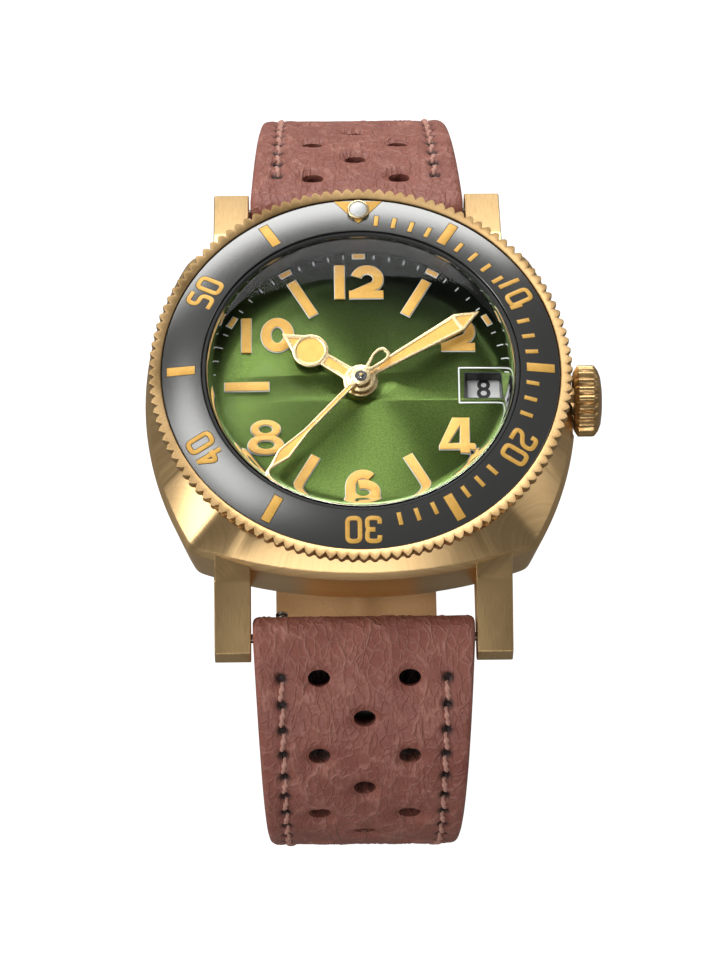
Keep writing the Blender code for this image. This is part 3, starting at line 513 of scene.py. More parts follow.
def bronze_brushed():
    """Case top: bronze with circular brushing round the bezel."""
    paint = Paint("bronze_brushed", BRONZE_LIT, 0.36, 1.0)
    paint.drawn_round(0.65, ACROSS_THE_RADIUS)
    lengthwise = paint.node("ShaderNodeSeparateXYZ", Vector=paint.coordinates).outputs[1]
    away = paint.maths("ABSOLUTE", lengthwise)
    on_lug = paint.remap(away, LUG_BRUSH_START, LUG_BRUSH_FULL, 0.0, 1.0)
    directions = paint.node("ShaderNodeMix", {"data_type": "VECTOR"})
    paint.feed(directions.inputs[0], on_lug)
    paint.feed(directions.inputs[4], paint.polar_vector(4.0, 15000.0))
    paint.feed(directions.inputs[5], paint.stretched(16000.0, 700.0, 700.0))
    lines = paint.brushed_along(directions.outputs[1], 0.33, 0.035, 0.002)
    paint.set("Base Color", paint.blend(paint.remap(lines, 0.3, 0.7, 0.4, 0.85), BRONZE_DEEP, BRONZE_LIT))
    return paint.material


def bronze_satin():
    """Lugs, bezel grip, crown, back and buckle: fine blasted bronze."""
    paint = Paint("bronze_satin", BRONZE_LIT, 0.4, 1.0)
    grain = paint.noise(9000.0, 2.0, 0.6)
    clouds = paint.noise(260.0, 3.0)
    tone = paint.weighted(grain, 0.5, clouds)
    paint.set("Base Color", paint.blend(paint.remap(tone, 0.35, 0.65, 0.0, 0.65), BRONZE_DEEP, BRONZE_LIT))
    paint.set("Roughness", paint.remap(clouds, 0.3, 0.7, 0.33, 0.45))
    paint.bump(grain, 0.006, 0.5)
    return paint.material


def insert_metal():
    """Bezel insert: dark gunmetal with faint circular brushing."""
    paint = Paint("insert_gunmetal", (0.10, 0.10, 0.098), 0.3, 0.85)
    paint.drawn_round(0.5, ACROSS_THE_RADIUS)
    lines = paint.brushed_along(paint.polar_vector(1.5, 16000.0), 0.23, 0.005, 0.0002)
    paint.set("Base Color", paint.blend(lines, (0.118, 0.118, 0.115), (0.138, 0.138, 0.135)))
    return paint.material


def sandy(name, light, dark, roughness=0.5, metallic=0.25, grain_mm=0.02):
    """Grainy filling such as lume or gilt powder."""
    paint = Paint(name, light, roughness, metallic)
    grain = paint.noise(11000.0, 3.0, 0.7)
    clouds = paint.noise(900.0, 2.0)
    mixed = paint.weighted(grain, 0.65, clouds)
    paint.set("Base Color", paint.blend(paint.remap(mixed, 0.35, 0.65, 0.0, 1.0), dark, light))
    paint.bump(grain, grain_mm, 0.6)
    return paint.material


def sunburst_dial():
    """Green dial with fine radial grain that lights up in fans, with shade painted dark towards 12 and its
    edge.
    """
    paint = Paint("dial_sunburst", (0.13, 0.26, 0.03), 0.3, 0.9)
    paint.drawn_round(0.9, 0.0)
    rays = paint.noise(1.0, 4.0, 0.7, paint.polar_vector(170.0, 90.0))
    speckle = paint.noise(9000.0, 2.0, 0.7)
    tone = paint.weighted(rays, 0.12, speckle)
    green = paint.blend(paint.remap(tone, 0.35, 0.65, 0.0, 1.0), (0.07, 0.12, 0.026), (0.145, 0.22, 0.05))
    place = paint.node("ShaderNodeSeparateXYZ", Vector=paint.coordinates).outputs
    radius = paint.node("ShaderNodeVectorMath", {"operation": "LENGTH"}, Vector=paint.coordinates)
    upward = paint.maths("ADD", place[1], paint.maths("MULTIPLY", place[0], 0.25))
    # Painted shade: the colour darkens towards 12 and the rim, standing in for the flange's shadow and dark
    # reflection there.
    painted_dial_shade = paint.maths(
        "MAXIMUM",
        paint.remap(upward, 0.0, 0.0108, 0.0, 1.0),
        paint.remap(radius.outputs["Value"], 0.0135, 0.0165, 0.0, 0.85),
    )
    paint.set("Base Color", paint.blend(painted_dial_shade, green, (0.014, 0.019, 0.011)))
    paint.set("Roughness", paint.remap(rays, 0.3, 0.7, 0.28, 0.31))
    paint.bump(speckle, 0.004, 0.5)
    return paint.material


def hand_gold():
    """Hands: pale gilt frames with a fine grain."""
    paint = Paint("hand_gold", (0.86, 0.68, 0.38), 0.3, 1.0)
    grain = paint.noise(7000.0, 3.0)
    paint.set("Base Color", paint.blend(grain, (0.72, 0.53, 0.27), (0.92, 0.75, 0.46)))
    paint.set("Roughness", paint.remap(grain, 0.3, 0.7, 0.24, 0.38))
    paint.bump(grain, 0.004, 0.4)
    return paint.material


def brushed_metal(name, light, dark, roughness):
    """Straight-grained metal for the movement and the bars."""
    paint = Paint(name, light, roughness, 1.0)
    lines = paint.brushed_along(paint.stretched(60.0, 4500.0, 4500.0), roughness, 0.07, 0.005)
    paint.set("Base Color", paint.blend(lines, dark, light))
    return paint.material


def plain_grained(name, light, dark, roughness):
    """Non-metal with a fine mottled surface."""
    paint = Paint(name, light, roughness)
    grain = paint.noise(3500.0, 4.0, 0.65)
    paint.set("Base Color", paint.blend(grain, dark, light))
    paint.set("Roughness", paint.remap(grain, 0.3, 0.7, roughness - 0.08, roughness + 0.08))
    paint.bump(grain, 0.01, 0.6)
    return paint.material


def sapphire():
    """Coated crystal: it bends what is seen, mirrors only at its rim and lets lamp light through."""
    paint = Paint("sapphire", (1.0, 1.0, 1.0), 0.015)
    paint.set("Transmission Weight", 1.0)
    paint.set("IOR", SAPPHIRE_IOR)
    smears = paint.noise(140.0, 2.0)
    paint.set("Roughness", paint.remap(smears, 0.3, 0.7, 0.0, 0.03))
    bend = paint.node("ShaderNodeBsdfRefraction", IOR=SAPPHIRE_IOR, Roughness=0.0).outputs[0]
    turned_away = paint.node("ShaderNodeLayerWeight", Blend=0.5).outputs["Facing"]
    coated = paint.either(paint.maths("POWER", turned_away, 1.8), bend, paint.shader.outputs[0])
    shadow = paint.node("ShaderNodeLightPath").outputs["Is Shadow Ray"]
    clear = paint.node("ShaderNodeBsdfTransparent").outputs[0]
    surface = paint.tree.nodes["Material Output"].inputs["Surface"]
    paint.feed(surface, paint.either(shadow, coated, clear))
    return paint.material


def veins(paint, scale, bend_mm, width, stretch):
    """Thin branching lines between stretched cells, from 0 to 1."""
    flow = paint.stretched(*stretch)
    warp = paint.node("ShaderNodeTexNoise", Scale=420.0, Detail=3.0, Vector=flow).outputs["Color"]
    warped = paint.node("ShaderNodeVectorMath", {"operation": "MULTIPLY_ADD"})
    paint.feed(warped.inputs[0], warp)
    warped.inputs[1].default_value = (bend_mm * MM,) * 3
    paint.feed(warped.inputs[2], flow)
    cells = paint.node("ShaderNodeTexVoronoi", {"feature": "DISTANCE_TO_EDGE"}, Scale=scale)
    paint.feed(cells.inputs["Vector"], warped.outputs[0])
    return paint.maths("POWER", paint.remap(cells.outputs["Distance"], 0.0, width, 1.0, 0.0), 2.0)


def attribute(paint, name):
    """A value that the mesh carries at each vertex."""
    return paint.node("ShaderNodeAttribute", {"attribute_name": name}).outputs["Fac"]


def leather():
    """Red-brown calf: pores, two sizes of wrinkle, needle pits with painted shade and crests with painted
    highlight.
    """
    paint = Paint("strap_leather", (0.30, 0.11, 0.08), 0.5)
    paint.set("Specular IOR Level", 0.4)
    clouds = paint.noise(300.0, 4.0, 0.6)
    grain = paint.noise(5200.0, 4.0, 0.7)
    shown = paint.remap(clouds, 0.36, 0.6, 0.15, 1.0)
    coarse = paint.maths("MULTIPLY", veins(paint, 430.0, 3.2, 0.14, (1.0, 0.45, 0.45)), shown)
    fine = paint.maths("MULTIPLY", veins(paint, 1150.0, 2.0, 0.16, (1.0, 0.6, 0.6)), 0.4)
    wrinkles = paint.maths("MAXIMUM", coarse, fine)
    base = paint.blend(paint.remap(clouds, 0.3, 0.7, 0.0, 1.0), (0.255, 0.080, 0.057), (0.36, 0.128, 0.092))
    base = paint.blend(paint.remap(grain, 0.35, 0.7, 0.0, 0.45), base, (0.15, 0.045, 0.034))
    # Painted highlight: the wrinkle lines are painted paler, standing in for light on their crests.
    base = paint.blend(paint.maths("MULTIPLY", wrinkles, 0.38), base, (0.60, 0.30, 0.235))
    # Painted highlight: the mesh's raised creases are painted paler too.
    base = paint.blend(paint.maths("MULTIPLY", attribute(paint, "crease"), 0.3), base, (0.56, 0.28, 0.22))
    # Painted shade: needle pits and faces hidden under the lining are painted near black.
    base = paint.blend(attribute(paint, "pit_shade"), base, (0.018, 0.007, 0.006))
    paint.set("Base Color", base)
    paint.set("Roughness", paint.remap(grain, 0.3, 0.7, 0.42, 0.6))
    first = paint.bump(grain, 0.03, 0.5)
    paint.bump(wrinkles, 0.16, 1.0, first)
    return paint.material


def lining():
    """Tan suede lining, with painted shade making it near black where it lies under the leather."""
    paint = Paint("strap_lining", (0.50, 0.28, 0.11), 0.6)
    nap = paint.noise(2600.0, 4.0, 0.65)
    base = paint.blend(nap, (0.38, 0.20, 0.075), (0.55, 0.31, 0.125))
    # Painted shade: near black where the lining lies hidden under the leather and shows through its holes.
    paint.set("Base Color", paint.blend(attribute(paint, "pit_shade"), base, (0.012, 0.006, 0.005)))
    paint.set("Roughness", paint.remap(nap, 0.3, 0.7, 0.55, 0.7))
    paint.bump(nap, 0.03, 0.6)
    return paint.material


def thread():
    """Red-brown waxed thread, a little paler than the leather."""
    paint = Paint("strap_thread", (0.36, 0.16, 0.12), 0.6)
    fibre = paint.noise(1.0, 3.0, 0.6, paint.stretched(9000.0, 3000.0, 3000.0))
    paint.set("Base Color", paint.blend(fibre, (0.30, 0.125, 0.092), (0.72, 0.39, 0.31)))
    paint.bump(fibre, 0.03, 0.7)
    return paint.material


def floor_white():
    """Plain white sweep that looks fully lit and throws only a little light back."""
    paint = Paint("floor_white", (0.2, 0.2, 0.2), 0.8)
    soft = paint.noise(4.0, 2.0)
    paint.set("Base Color", paint.blend(soft, (0.19, 0.19, 0.19), (0.21, 0.21, 0.21)))
    paint.set("Specular IOR Level", 0.0)
    paint.set("Emission Color", (1.0, 1.0, 1.0, 1.0))
    seen = paint.node("ShaderNodeLightPath").outputs["Is Camera Ray"]
    paint.set("Emission Strength", paint.remap(seen, 0.0, 1.0, 0.03, 0.97))
    return paint.material


PAINTS = {
    "bronze_brushed": bronze_brushed(),
    "bronze_satin": bronze_satin(),
    "insert": insert_metal(),
    "marker_gold": sandy("marker_gold", (0.80, 0.48, 0.10), (0.60, 0.31, 0.05)),
    "marker_edge": plain_grained("marker_edge", (0.05, 0.03, 0.012), (0.03, 0.018, 0.008), 0.6),
    "dial_lume": sandy("dial_lume", (0.82, 0.49, 0.10), (0.64, 0.34, 0.06), 0.6, 0.0),
    "dial_silver": plain_grained("dial_silver", (0.72, 0.74, 0.72), (0.6, 0.62, 0.6), 0.4),
    "lume_white": sandy("lume_white", (0.86, 0.88, 0.87), (0.7, 0.72, 0.71), 0.3, 0.0, 0.005),
    "dial": sunburst_dial(),
    "black": plain_grained("ring_black", (0.014, 0.014, 0.013), (0.006, 0.006, 0.006), 0.35),
    "ink": plain_grained("ink_black", (0.01, 0.01, 0.01), (0.006, 0.006, 0.006), 0.5),
    "date_white": plain_grained("date_white", (0.80, 0.80, 0.79), (0.70, 0.70, 0.69), 0.45),
    "rubber": plain_grained("rubber_black", (0.03, 0.03, 0.03), (0.015, 0.015, 0.015), 0.7),
    "hand_gold": hand_gold(),
    "steel": brushed_metal("steel_brushed", (0.66, 0.66, 0.65), (0.48, 0.48, 0.47), 0.28),
    "dark_steel": brushed_metal("steel_dark", (0.30, 0.30, 0.29), (0.16, 0.16, 0.155), 0.22),
    "brass": brushed_metal("brass_brushed", (0.78, 0.60, 0.30), (0.62, 0.44, 0.19), 0.32),
    "sapphire": sapphire(),
    "leather": leather(),
    "thread": thread(),
    "lining": lining(),
}


# ---------------------------------------------------------------- case
CORNER_SHARPNESS = 7.0
CASE_SECTIONS = 360
CASE_ANGLES = [360.0 * i / CASE_SECTIONS for i in range(CASE_SECTIONS)]
# How far inside the cushion outline the foot, chamfer, shoulder and flat top end.
FOOT_INSET = 1.25
CHAMFER_INSET = 0.42
SHOULDER_INSET = 1.25
TOP_INSET = 2.1
LUG_EDGE = 0.16


def arc_reach(direction, centre, radius):
    """Distance from the origin, along a unit direction, to a circle around it."""
    along = direction.dot(Vector(centre))
    return along + math.sqrt(along**2 - Vector(centre).length_squared + radius**2)


def cushion_radius(degrees):
    """Polar radius of the cushion outline: four arcs meeting in crisp corners."""
    direction = polar(1.0, degrees)
    side = CASE_HALF_WIDTH - SIDE_ARC_RADIUS
    end = CASE_HALF_HEIGHT - END_ARC_RADIUS
    centres = [(side, 0.0), (-side, 0.0), (0.0, end), (0.0, -end)]
    radii = [SIDE_ARC_RADIUS, SIDE_ARC_RADIUS, END_ARC_RADIUS, END_ARC_RADIUS]
    reaches = [arc_reach(direction, c, r) for c, r in zip(centres, radii)]
    nearest = min(reaches)
    total = sum(math.exp(-CORNER_SHARPNESS * (reach - nearest)) for reach in reaches)
    return nearest - math.log(total) / CORNER_SHARPNESS


def cushion_ring(inset, z):
    """A ring of points inside the cushion outline."""
    return [(*polar(cushion_radius(a) - inset, a), z) for a in CASE_ANGLES]


def lug_mesh(side_x, side_y):
    """One lug: a bar that falls to its tip, with softened edges."""
    profile = [(15.2, 1.3), (15.2, 7.3), (17.9, 6.5), (23.75, 3.75), (23.75, 1.9), (23.2, 1.3)]
    ends = [LUG_INNER * side_x, LUG_OUTER * side_x]
    bm = skin_rings([[(x, y * side_y, z) for y, z in profile] for x in ends])
    bmesh.ops.recalc_face_normals(bm, faces=bm.faces)
    bmesh.ops.bevel(bm, geom=bm.edges[:], offset=LUG_EDGE, segments=3, affect="EDGES", profile=0.6)
    return scaled_mesh("lug", bm)


def case_outside():
    """Rings up the case's side and chamfer, then over its shoulder to the flat top."""
    side = [
        (FOOT_INSET, CASE_BOTTOM),
        (FOOT_INSET - 0.25, CASE_BOTTOM + 0.15),
        (0.03, CASE_EDGE - 0.12),
        (0.02, CASE_EDGE + 0.05),
        (CHAMFER_INSET - 0.09, CASE_CHAMFER_TOP - 0.08),
        (CHAMFER_INSET, CASE_CHAMFER_TOP + 0.03),
    ]
    foot = side[-1][1]
    wall = []
    top = []
    for angle in CASE_ANGLES:
        reach = cushion_radius(angle)
        radius = min(SHOULDER_RADIUS, reach - SHOULDER_INSET)
        rise = min(CASE_TOP - foot, reach - CHAMFER_INSET - radius)
        wall.append((*polar(radius, angle), foot + rise))
        top.append((*polar(min(SHOULDER_RADIUS - 0.2, reach - TOP_INSET), angle), CASE_TOP))
    return [cushion_ring(inset, z) for inset, z in side] + [wall, top]


def case_inside():
    """Rings from the neck that holds the crystal down through the bore."""
    profile = [
        (NECK_OUTER, CASE_TOP),
        (NECK_OUTER, NECK_TOP - 0.1),
        (NECK_OUTER - 0.1, NECK_TOP),
        (NECK_INNER, NECK_TOP),
        (NECK_INNER, DIAL_SEAT),
        (CASE_BORE, DIAL_SEAT),
        (CASE_BORE, BACK_SEAT),
        (BACK_SEAT_RADIUS, BACK_SEAT),
        (BACK_SEAT_RADIUS, CASE_BOTTOM),
    ]
    return [round_ring(radius, z, CASE_SECTIONS) for radius, z in profile]


def make_case():
    """Middle case with its four lugs, bored for the spring bars and the crown tube."""
    body = scaled_mesh("case_body", skin_rings(case_outside() + case_inside(), loop=True))
    lugs = [lug_mesh(x, y) for x in (-1, 1) for y in (-1, 1)]
    body = carve(body, lugs, "UNION")
    holes = [
        cylinder_mesh("bar_hole", 0.5, 23.2, (0, side * BAR_Y, BAR_Z), (1, 0, 0), 24)
        for side in (-1, 1)
    ]
    holes.append(cylinder_mesh("tube_hole", 1.3, 8.0, (17.0, 0, CROWN_AXIS_Z), (1, 0, 0)))
    holes.append(cylinder_mesh("crown_recess", 3.6, 3.0, (20.65, 0, CROWN_AXIS_Z), (1, 0, 0), 64))
    body = carve(body, holes)
    add_piece("case_middle", body, "bronze_brushed", "case", ["mid_case"], 22.0)


def make_case_back():
    """Screwed back with a stepped rim and six pockets for its key."""
    profile = [
        (0.0, 0.9), (13.4, 0.9), (13.4, 2.5), (14.5, 2.5), (14.5, 1.45), (14.7, 1.45), (14.7, 1.1),
        (15.3, 1.1), (15.3, 1.45), (15.8, 1.45), (15.8, 0.25), (15.55, 0.0), (12.4, 0.0),
        (12.3, 0.12), (12.0, 0.12), (11.9, 0.0), (0.0, 0.0),
    ]
    pockets = [
        cylinder_mesh("pocket", 0.8, 1.0, (*polar(14.2, 60.0 * i + 11.0), 0.0), (0, 0, 1), 32)
        for i in range(6)
    ]
    back = carve(lathe_mesh("back", profile, 0.08, 2, 240), pockets)
    add_piece("case_back_cover", back, "bronze_brushed", "case", ["case_back"])


# ---------------------------------------------------------------- bezel
def toothed_rings(rows, samples, depth, wave):
    """Rings about Z from rows of (radius, z, share of the tooth depth); no radius makes a pole."""
    rings = []
    for radius, z, share in rows:
        ring = []
        for i in range(samples if radius else 1):
            angle = 360.0 * i / samples
            ring.append((*polar(radius + depth * share * wave(angle), angle), z))
        rings.append(ring)
    return rings


def insert_top(radius):
    """Height of the insert's sloping face."""
    share = (radius - INSERT_INNER) / (INSERT_OUTER - INSERT_INNER)
    return INSERT_INNER_Z + share * (INSERT_OUTER_Z - INSERT_INNER_Z)


def make_bezel_ring():
    """Coin-edged ring: rounded teeth outside, a flat land and the insert's seat inside."""
    lip = INSERT_OUTER + 0.06
    seat = INSERT_THICK + 0.05
    rows = [
        (BEZEL_INNER, BEZEL_LOW, 0.0),
        (BEZEL_SKIRT_RADIUS - 0.1, BEZEL_LOW, 0.0),
        (BEZEL_SKIRT_RADIUS, BEZEL_LOW + 0.1, 0.0),
        (BEZEL_SKIRT_RADIUS, BEZEL_RIM_LOW - 0.15, 0.0),
        (BEZEL_VALLEY - 0.3, BEZEL_RIM_LOW, 0.0),
        (BEZEL_VALLEY - 0.05, BEZEL_RIM_LOW + 0.3, 0.8),
        (BEZEL_VALLEY, BEZEL_RIM_LOW + 0.7, 1.0),
        (BEZEL_VALLEY, BEZEL_TOP - 0.04, 1.0),
        (BEZEL_VALLEY - 0.03, BEZEL_TOP, 0.96),
        (lip + 0.1, BEZEL_TOP, 0.0),
        (lip + 0.02, BEZEL_TOP - 0.05, 0.0),
        (lip, BEZEL_TOP - 0.15, 0.0),
        (lip, insert_top(lip) - seat, 0.0),
        (BEZEL_INNER, insert_top(BEZEL_INNER) - seat, 0.0),
    ]

    def wave(angle):
        return abs(math.cos(math.radians(angle * BEZEL_TEETH / 2)))

    rings = toothed_rings(rows, 8 * BEZEL_TEETH, BEZEL_TIP - BEZEL_VALLEY, wave)
    mesh = scaled_mesh("bezel_ring", skin_rings(rings, loop=True))
    add_piece("bezel_coin_edge", mesh, "bronze_satin", "bezel", ["bezel_ring"], 40.0)


def make_insert():
    """Sloping ring that carries the minute scale."""
    profile = [
        (INSERT_INNER, INSERT_INNER_Z), (INSERT_OUTER, INSERT_OUTER_Z),
        (INSERT_OUTER, INSERT_OUTER_Z - INSERT_THICK), (INSERT_INNER, INSERT_INNER_Z - INSERT_THICK),
    ]
    turned_piece("insert_ring", profile, "insert", "bezel", ["bezel_insert"], 360, edge=0.09)


# Squarish numerals of the bezel, in half widths and half heights.
SQUARE_DIGITS = {
    "0": ([(-1, 1), (1, 1), (1, -1), (-1, -1)], True),
    "1": ([(0.1, 1), (0.1, -1)], False),
    "2": ([(-1, 0.45), (-1, 1), (1, 1), (1, 0.1), (-1, -0.4), (-1, -1), (1, -1)], False),
    "3": (
        [(-1, 0.5), (-1, 1), (1, 1), (1, 0.3), (0.8, 0), (1, -0.3), (1, -1), (-1, -1), (-1, -0.5)],
        False,
    ),
    "4": ([(0.45, 1), (-1, -0.35), (1, -0.35)], False),
    "5": ([(1, 1), (-1, 1), (-1, 0.1), (1, 0.1), (1, -1), (-1, -1)], False),
}
DIGIT_HEIGHT = 2.5
DIGIT_WIDTH = 1.5
DIGIT_PEN = 0.4
DIGIT_CORNER = 0.42
DIGIT_SHIFT = 0.87
DIGIT_RADIUS = 16.1
SECOND_STROKES = {"3": [(-0.3, 0.0), (0.9, 0.0)], "4": [(0.45, 1.15), (0.45, -1.15)]}

# Ticks and bars as half width, half height and the radius of their middle.
TICK = (0.19, 0.575, 15.45)
TICK_MINUTES = [minute for minute in range(1, 29) if minute % 5 and minute not in (19, 21)]
BAR = (0.42, 1.25, 16.12)
BAR_MINUTES = range(5, 60, 10)
TRIANGLE_RADIUS = 16.4
MARK_ROOT = 0.2
MARK_EDGE = 0.02
MARK_OVERLAP_STEP = 0.006


def square_digit(digit, centre_x, pen):
    """Outlines of one bezel numeral, standing upright about its own middle."""
    half_width = (DIGIT_WIDTH - DIGIT_PEN) / 2
    half_height = (DIGIT_HEIGHT - DIGIT_PEN) / 2

    def placed(line):
        return [(centre_x + x * half_width, y * half_height) for x, y in line]

    line, closed = SQUARE_DIGITS[digit]
    outlines = [stroke(rounded(placed(line), DIGIT_CORNER, 4, closed), pen, closed)]
    if digit in SECOND_STROKES:
        outlines.append(stroke(placed(SECOND_STROKES[digit]), pen))
    return outlines


def box_outline(half_width, half_height, centre=(0.0, 0.0)):
    """Corners of an upright rectangle about its centre."""
    x, y = centre
    return [
        (x - half_width, y - half_height), (x + half_width, y - half_height),
        (x + half_width, y + half_height), (x - half_width, y + half_height),
    ]


def insert_marks(swell):
    """All bezel marks as (outlines, radius, minutes); swell widens them for the dark edge."""
    marks = []
    for (half_width, half_height, radius), minutes in ((TICK, TICK_MINUTES), (BAR, BAR_MINUTES)):
        outline = box_outline(half_width + swell, half_height + swell)
        marks += [([outline], radius, minute) for minute in minutes]
    for minute in range(10, 60, 10):
        for digit, x in ((str(minute // 10), -DIGIT_SHIFT), ("0", DIGIT_SHIFT)):
            for outlines in square_digit(digit, x, DIGIT_PEN + 2 * swell):
                marks.append((outlines, DIGIT_RADIUS, minute))
    half = 2.2 + 1.6 * swell
    base = 1.3 + 0.8 * swell
    triangle = [(-half, base), (half, base), (0.0, -1.3 - 1.6 * swell)]
    marks.append(([rounded(triangle, 0.12, 2)], TRIANGLE_RADIUS, 0))
    return marks


def make_insert_marks(name, swell, height, paint):
    """Lay the flat marks on the insert's sloping face."""
    meshes = []
    for k, (outlines, radius, minute) in enumerate(insert_marks(swell)):
        place = clockwise(6.0 * minute) @ Matrix.Translation((0.0, radius * MM, 0.0))
        top = MARK_ROOT + height - MARK_OVERLAP_STEP * (k % 2)
        meshes.append(plate_mesh(name, outlines, 0.0, top, MARK_EDGE, place))
    mesh = merged(name, meshes)
    for vertex in mesh.vertices:
        radius = math.hypot(vertex.co.x, vertex.co.y) / MM
        vertex.co.z += (insert_top(radius) - MARK_ROOT) * MM
    add_piece(name, mesh, paint, "bezel")


def make_pip():
    """Domed lume pip in a thin metal collar, in the triangle at 12."""
    low = insert_top(PIP_CENTRE - PIP_RADIUS) + 0.05
    place = Matrix.Translation((0.0, PIP_CENTRE * MM, low * MM))
    dome = ellipse(PIP_RADIUS * 0.86, PIP_RISE, 0.0, 72.0)
    bm = turned([(0.0, 0.0)] + dome + [(0.0, PIP_RISE)], 48, loop=False)
    bm.transform(Matrix.Translation((0.0, 0.0, 0.02)))
    mesh = scaled_mesh("pip", bm)
    mesh.transform(place)
    add_piece("pip_dome", mesh, "lume_white", "bezel", ["lume_pip"])
    collar = rounded([(1.0, -0.1), (1.0, 0.2), (0.84, 0.26), (0.84, -0.1)], 0.05, 2)
    mesh = scaled_mesh("pip_collar", turned(collar, 48))
    mesh.transform(place)
    add_piece("pip_collar", mesh, "hand_gold", "bezel")


# ---------------------------------------------------------------- crystal and ring
def make_crystal():
    """Domed box crystal: a shallow dome, a rounded shoulder and a hollow underside."""
    steps = 24
    bends = 10
    shoulder = 1.0
    rise = CRYSTAL_TOP - CRYSTAL_EDGE_TOP
    dome = ((CRYSTAL_RADIUS - 0.25) ** 2 + rise**2) / (2 * rise)
    slope = math.asin((CRYSTAL_RADIUS - shoulder) / (dome - shoulder))
    centre_z = CRYSTAL_TOP - dome + (dome - shoulder) * math.cos(slope)
    top = [
        (dome * math.sin(slope * i / steps), CRYSTAL_TOP - dome + dome * math.cos(slope * i / steps))
        for i in range(steps + 1)
    ]
    turns = [slope + (math.pi / 2 - slope) * i / bends for i in range(1, bends + 1)]
    corner = [
        (CRYSTAL_RADIUS - shoulder + shoulder * math.sin(a), centre_z + shoulder * math.cos(a))
        for a in turns
    ]
    inner_edge = CRYSTAL_RADIUS - 0.7
    inner_rise = CRYSTAL_HOLLOW_TOP - CRYSTAL_LOW
    hollow = (inner_edge**2 + inner_rise**2) / (2 * inner_rise)
    under = [
        (r, CRYSTAL_HOLLOW_TOP - hollow + math.sqrt(hollow**2 - r**2))
        for r in (inner_edge * (1 - i / steps) for i in range(steps + 1))
    ]
    side = [(CRYSTAL_RADIUS, CRYSTAL_LOW + 0.1), (CRYSTAL_RADIUS - 0.1, CRYSTAL_LOW)]
    turned_piece(
        "crystal_dome", top + corner + side + under, "sapphire", "case",
        ["crystal"], 240, loop=False,
    )


def make_rings_under_crystal():
    """Black inner flange and the crystal's seal."""
    rehaut = [(14.2, 11.15), (14.2, 8.85), (13.3, 8.85), (13.75, 11.15)]
    turned_piece("rehaut", rehaut, "black", "case", ["rehaut_ring"], 240, edge=0.05)
    seal = [(13.96, 11.3), (14.24, 11.3), (14.24, 12.9), (13.96, 12.9)]
    turned_piece("crystal_seal", seal, "rubber", "case", ["crystal_gasket"], 240, edge=0.06)


# ---------------------------------------------------------------- dial
def window_line(half_width, half_height, corner):
    """A rounded rectangle about the date window's middle."""
    return rounded(box_outline(half_width, half_height, (WINDOW_X, 0.0)), corner, 2)


def make_dial():
    """Dial plate with its date window, the window's slope painted black as shade, and its silver frame."""
    outlines = [
        ellipse(DIAL_RADIUS, DIAL_RADIUS, step=2.0),
        ellipse(DIAL_HOLE, DIAL_HOLE, step=7.5),
        window_line(WINDOW_WIDTH / 2, WINDOW_HEIGHT / 2, 0.08),
    ]
    mesh = plate_mesh("dial", outlines, DIAL_LOW, DIAL_TOP, 0.05)
    add_piece("dial_plate", mesh, "dial", "case", ["dial"])
    # Each step of the slope is (half width, half height, z).
    steps = [(1.67, 1.28, DIAL_TOP + 0.01), (1.6, 1.2, DIAL_TOP + 0.01), (1.4, 1.0, 7.9), (1.6, 1.2, 7.9)]
    rings = [[(*point, z) for point in window_line(x, y, 0.08)] for x, y, z in steps]
    # Painted shade: the window's sloping walls are painted black, standing in for the shade inside the
    # window.
    slope = scaled_mesh("window_bevel", skin_rings(rings, loop=True))
    add_piece("date_window_bevel_painted_shade", slope, "black", "case")
    border = [window_line(2.17, 1.76, 0.1), window_line(2.04, 1.63, 0.08)]
    mesh = plate_mesh("window_frame", border, DIAL_TOP, DIAL_TOP + 0.06, 0.015)
    add_piece("date_window_frame", mesh, "dial_silver", "case")


PEN = 0.84
RIM = 0.13
OVERLAP_STEP = 0.008
MARKER_HEIGHTS = {"frame": 0.14, "lume": 0.24}
MARKER_PAINTS = {"frame": "dial_silver", "lume": "dial_lume"}


def two_outlines(pen):
    """A hooked main stroke and a foot."""
    arc = ellipse(0.97, 0.97, 165.0, -38.0, (0.1, 0.27))
    return [stroke(arc + [Vector((-1.1, -1.3))], pen), stroke([(-1.49, -1.28), (1.49, -1.28)], pen * 0.9)]


def four_outlines(pen):
    """One closed outline with a triangular hole."""
    swell = (pen - PEN) / 2
    outer = [
        (-0.4, 1.7), (1.08, 1.7), (1.08, -0.78), (1.54, -0.78), (1.54, -1.34), (1.08, -1.34),
        (1.08, -1.7), (0.27, -1.7), (0.27, -1.34), (-1.54, -1.34), (-1.54, -0.92),
    ]
    inner = [(0.27, 1.0), (0.27, -0.78), (-0.78, -0.78)]
    middle = Vector((0.0, -0.1))
    grown = [Vector(p) + (Vector(p) - middle).normalized() * swell for p in outer]
    hole_middle = Vector((-0.05, -0.3))
    shrunk = [Vector(p) - (Vector(p) - hole_middle).normalized() * swell * 1.6 for p in inner]
    return [[grown, shrunk]]


def six_outlines(pen):
    """A back and a bowl in one stroke."""
    back = ellipse(1.06, 1.23, 48.0, 180.0)
    bowl = ellipse(1.06, 0.74, 180.0, 470.0, (0.0, -0.49))
    return [stroke(back + bowl, pen)]


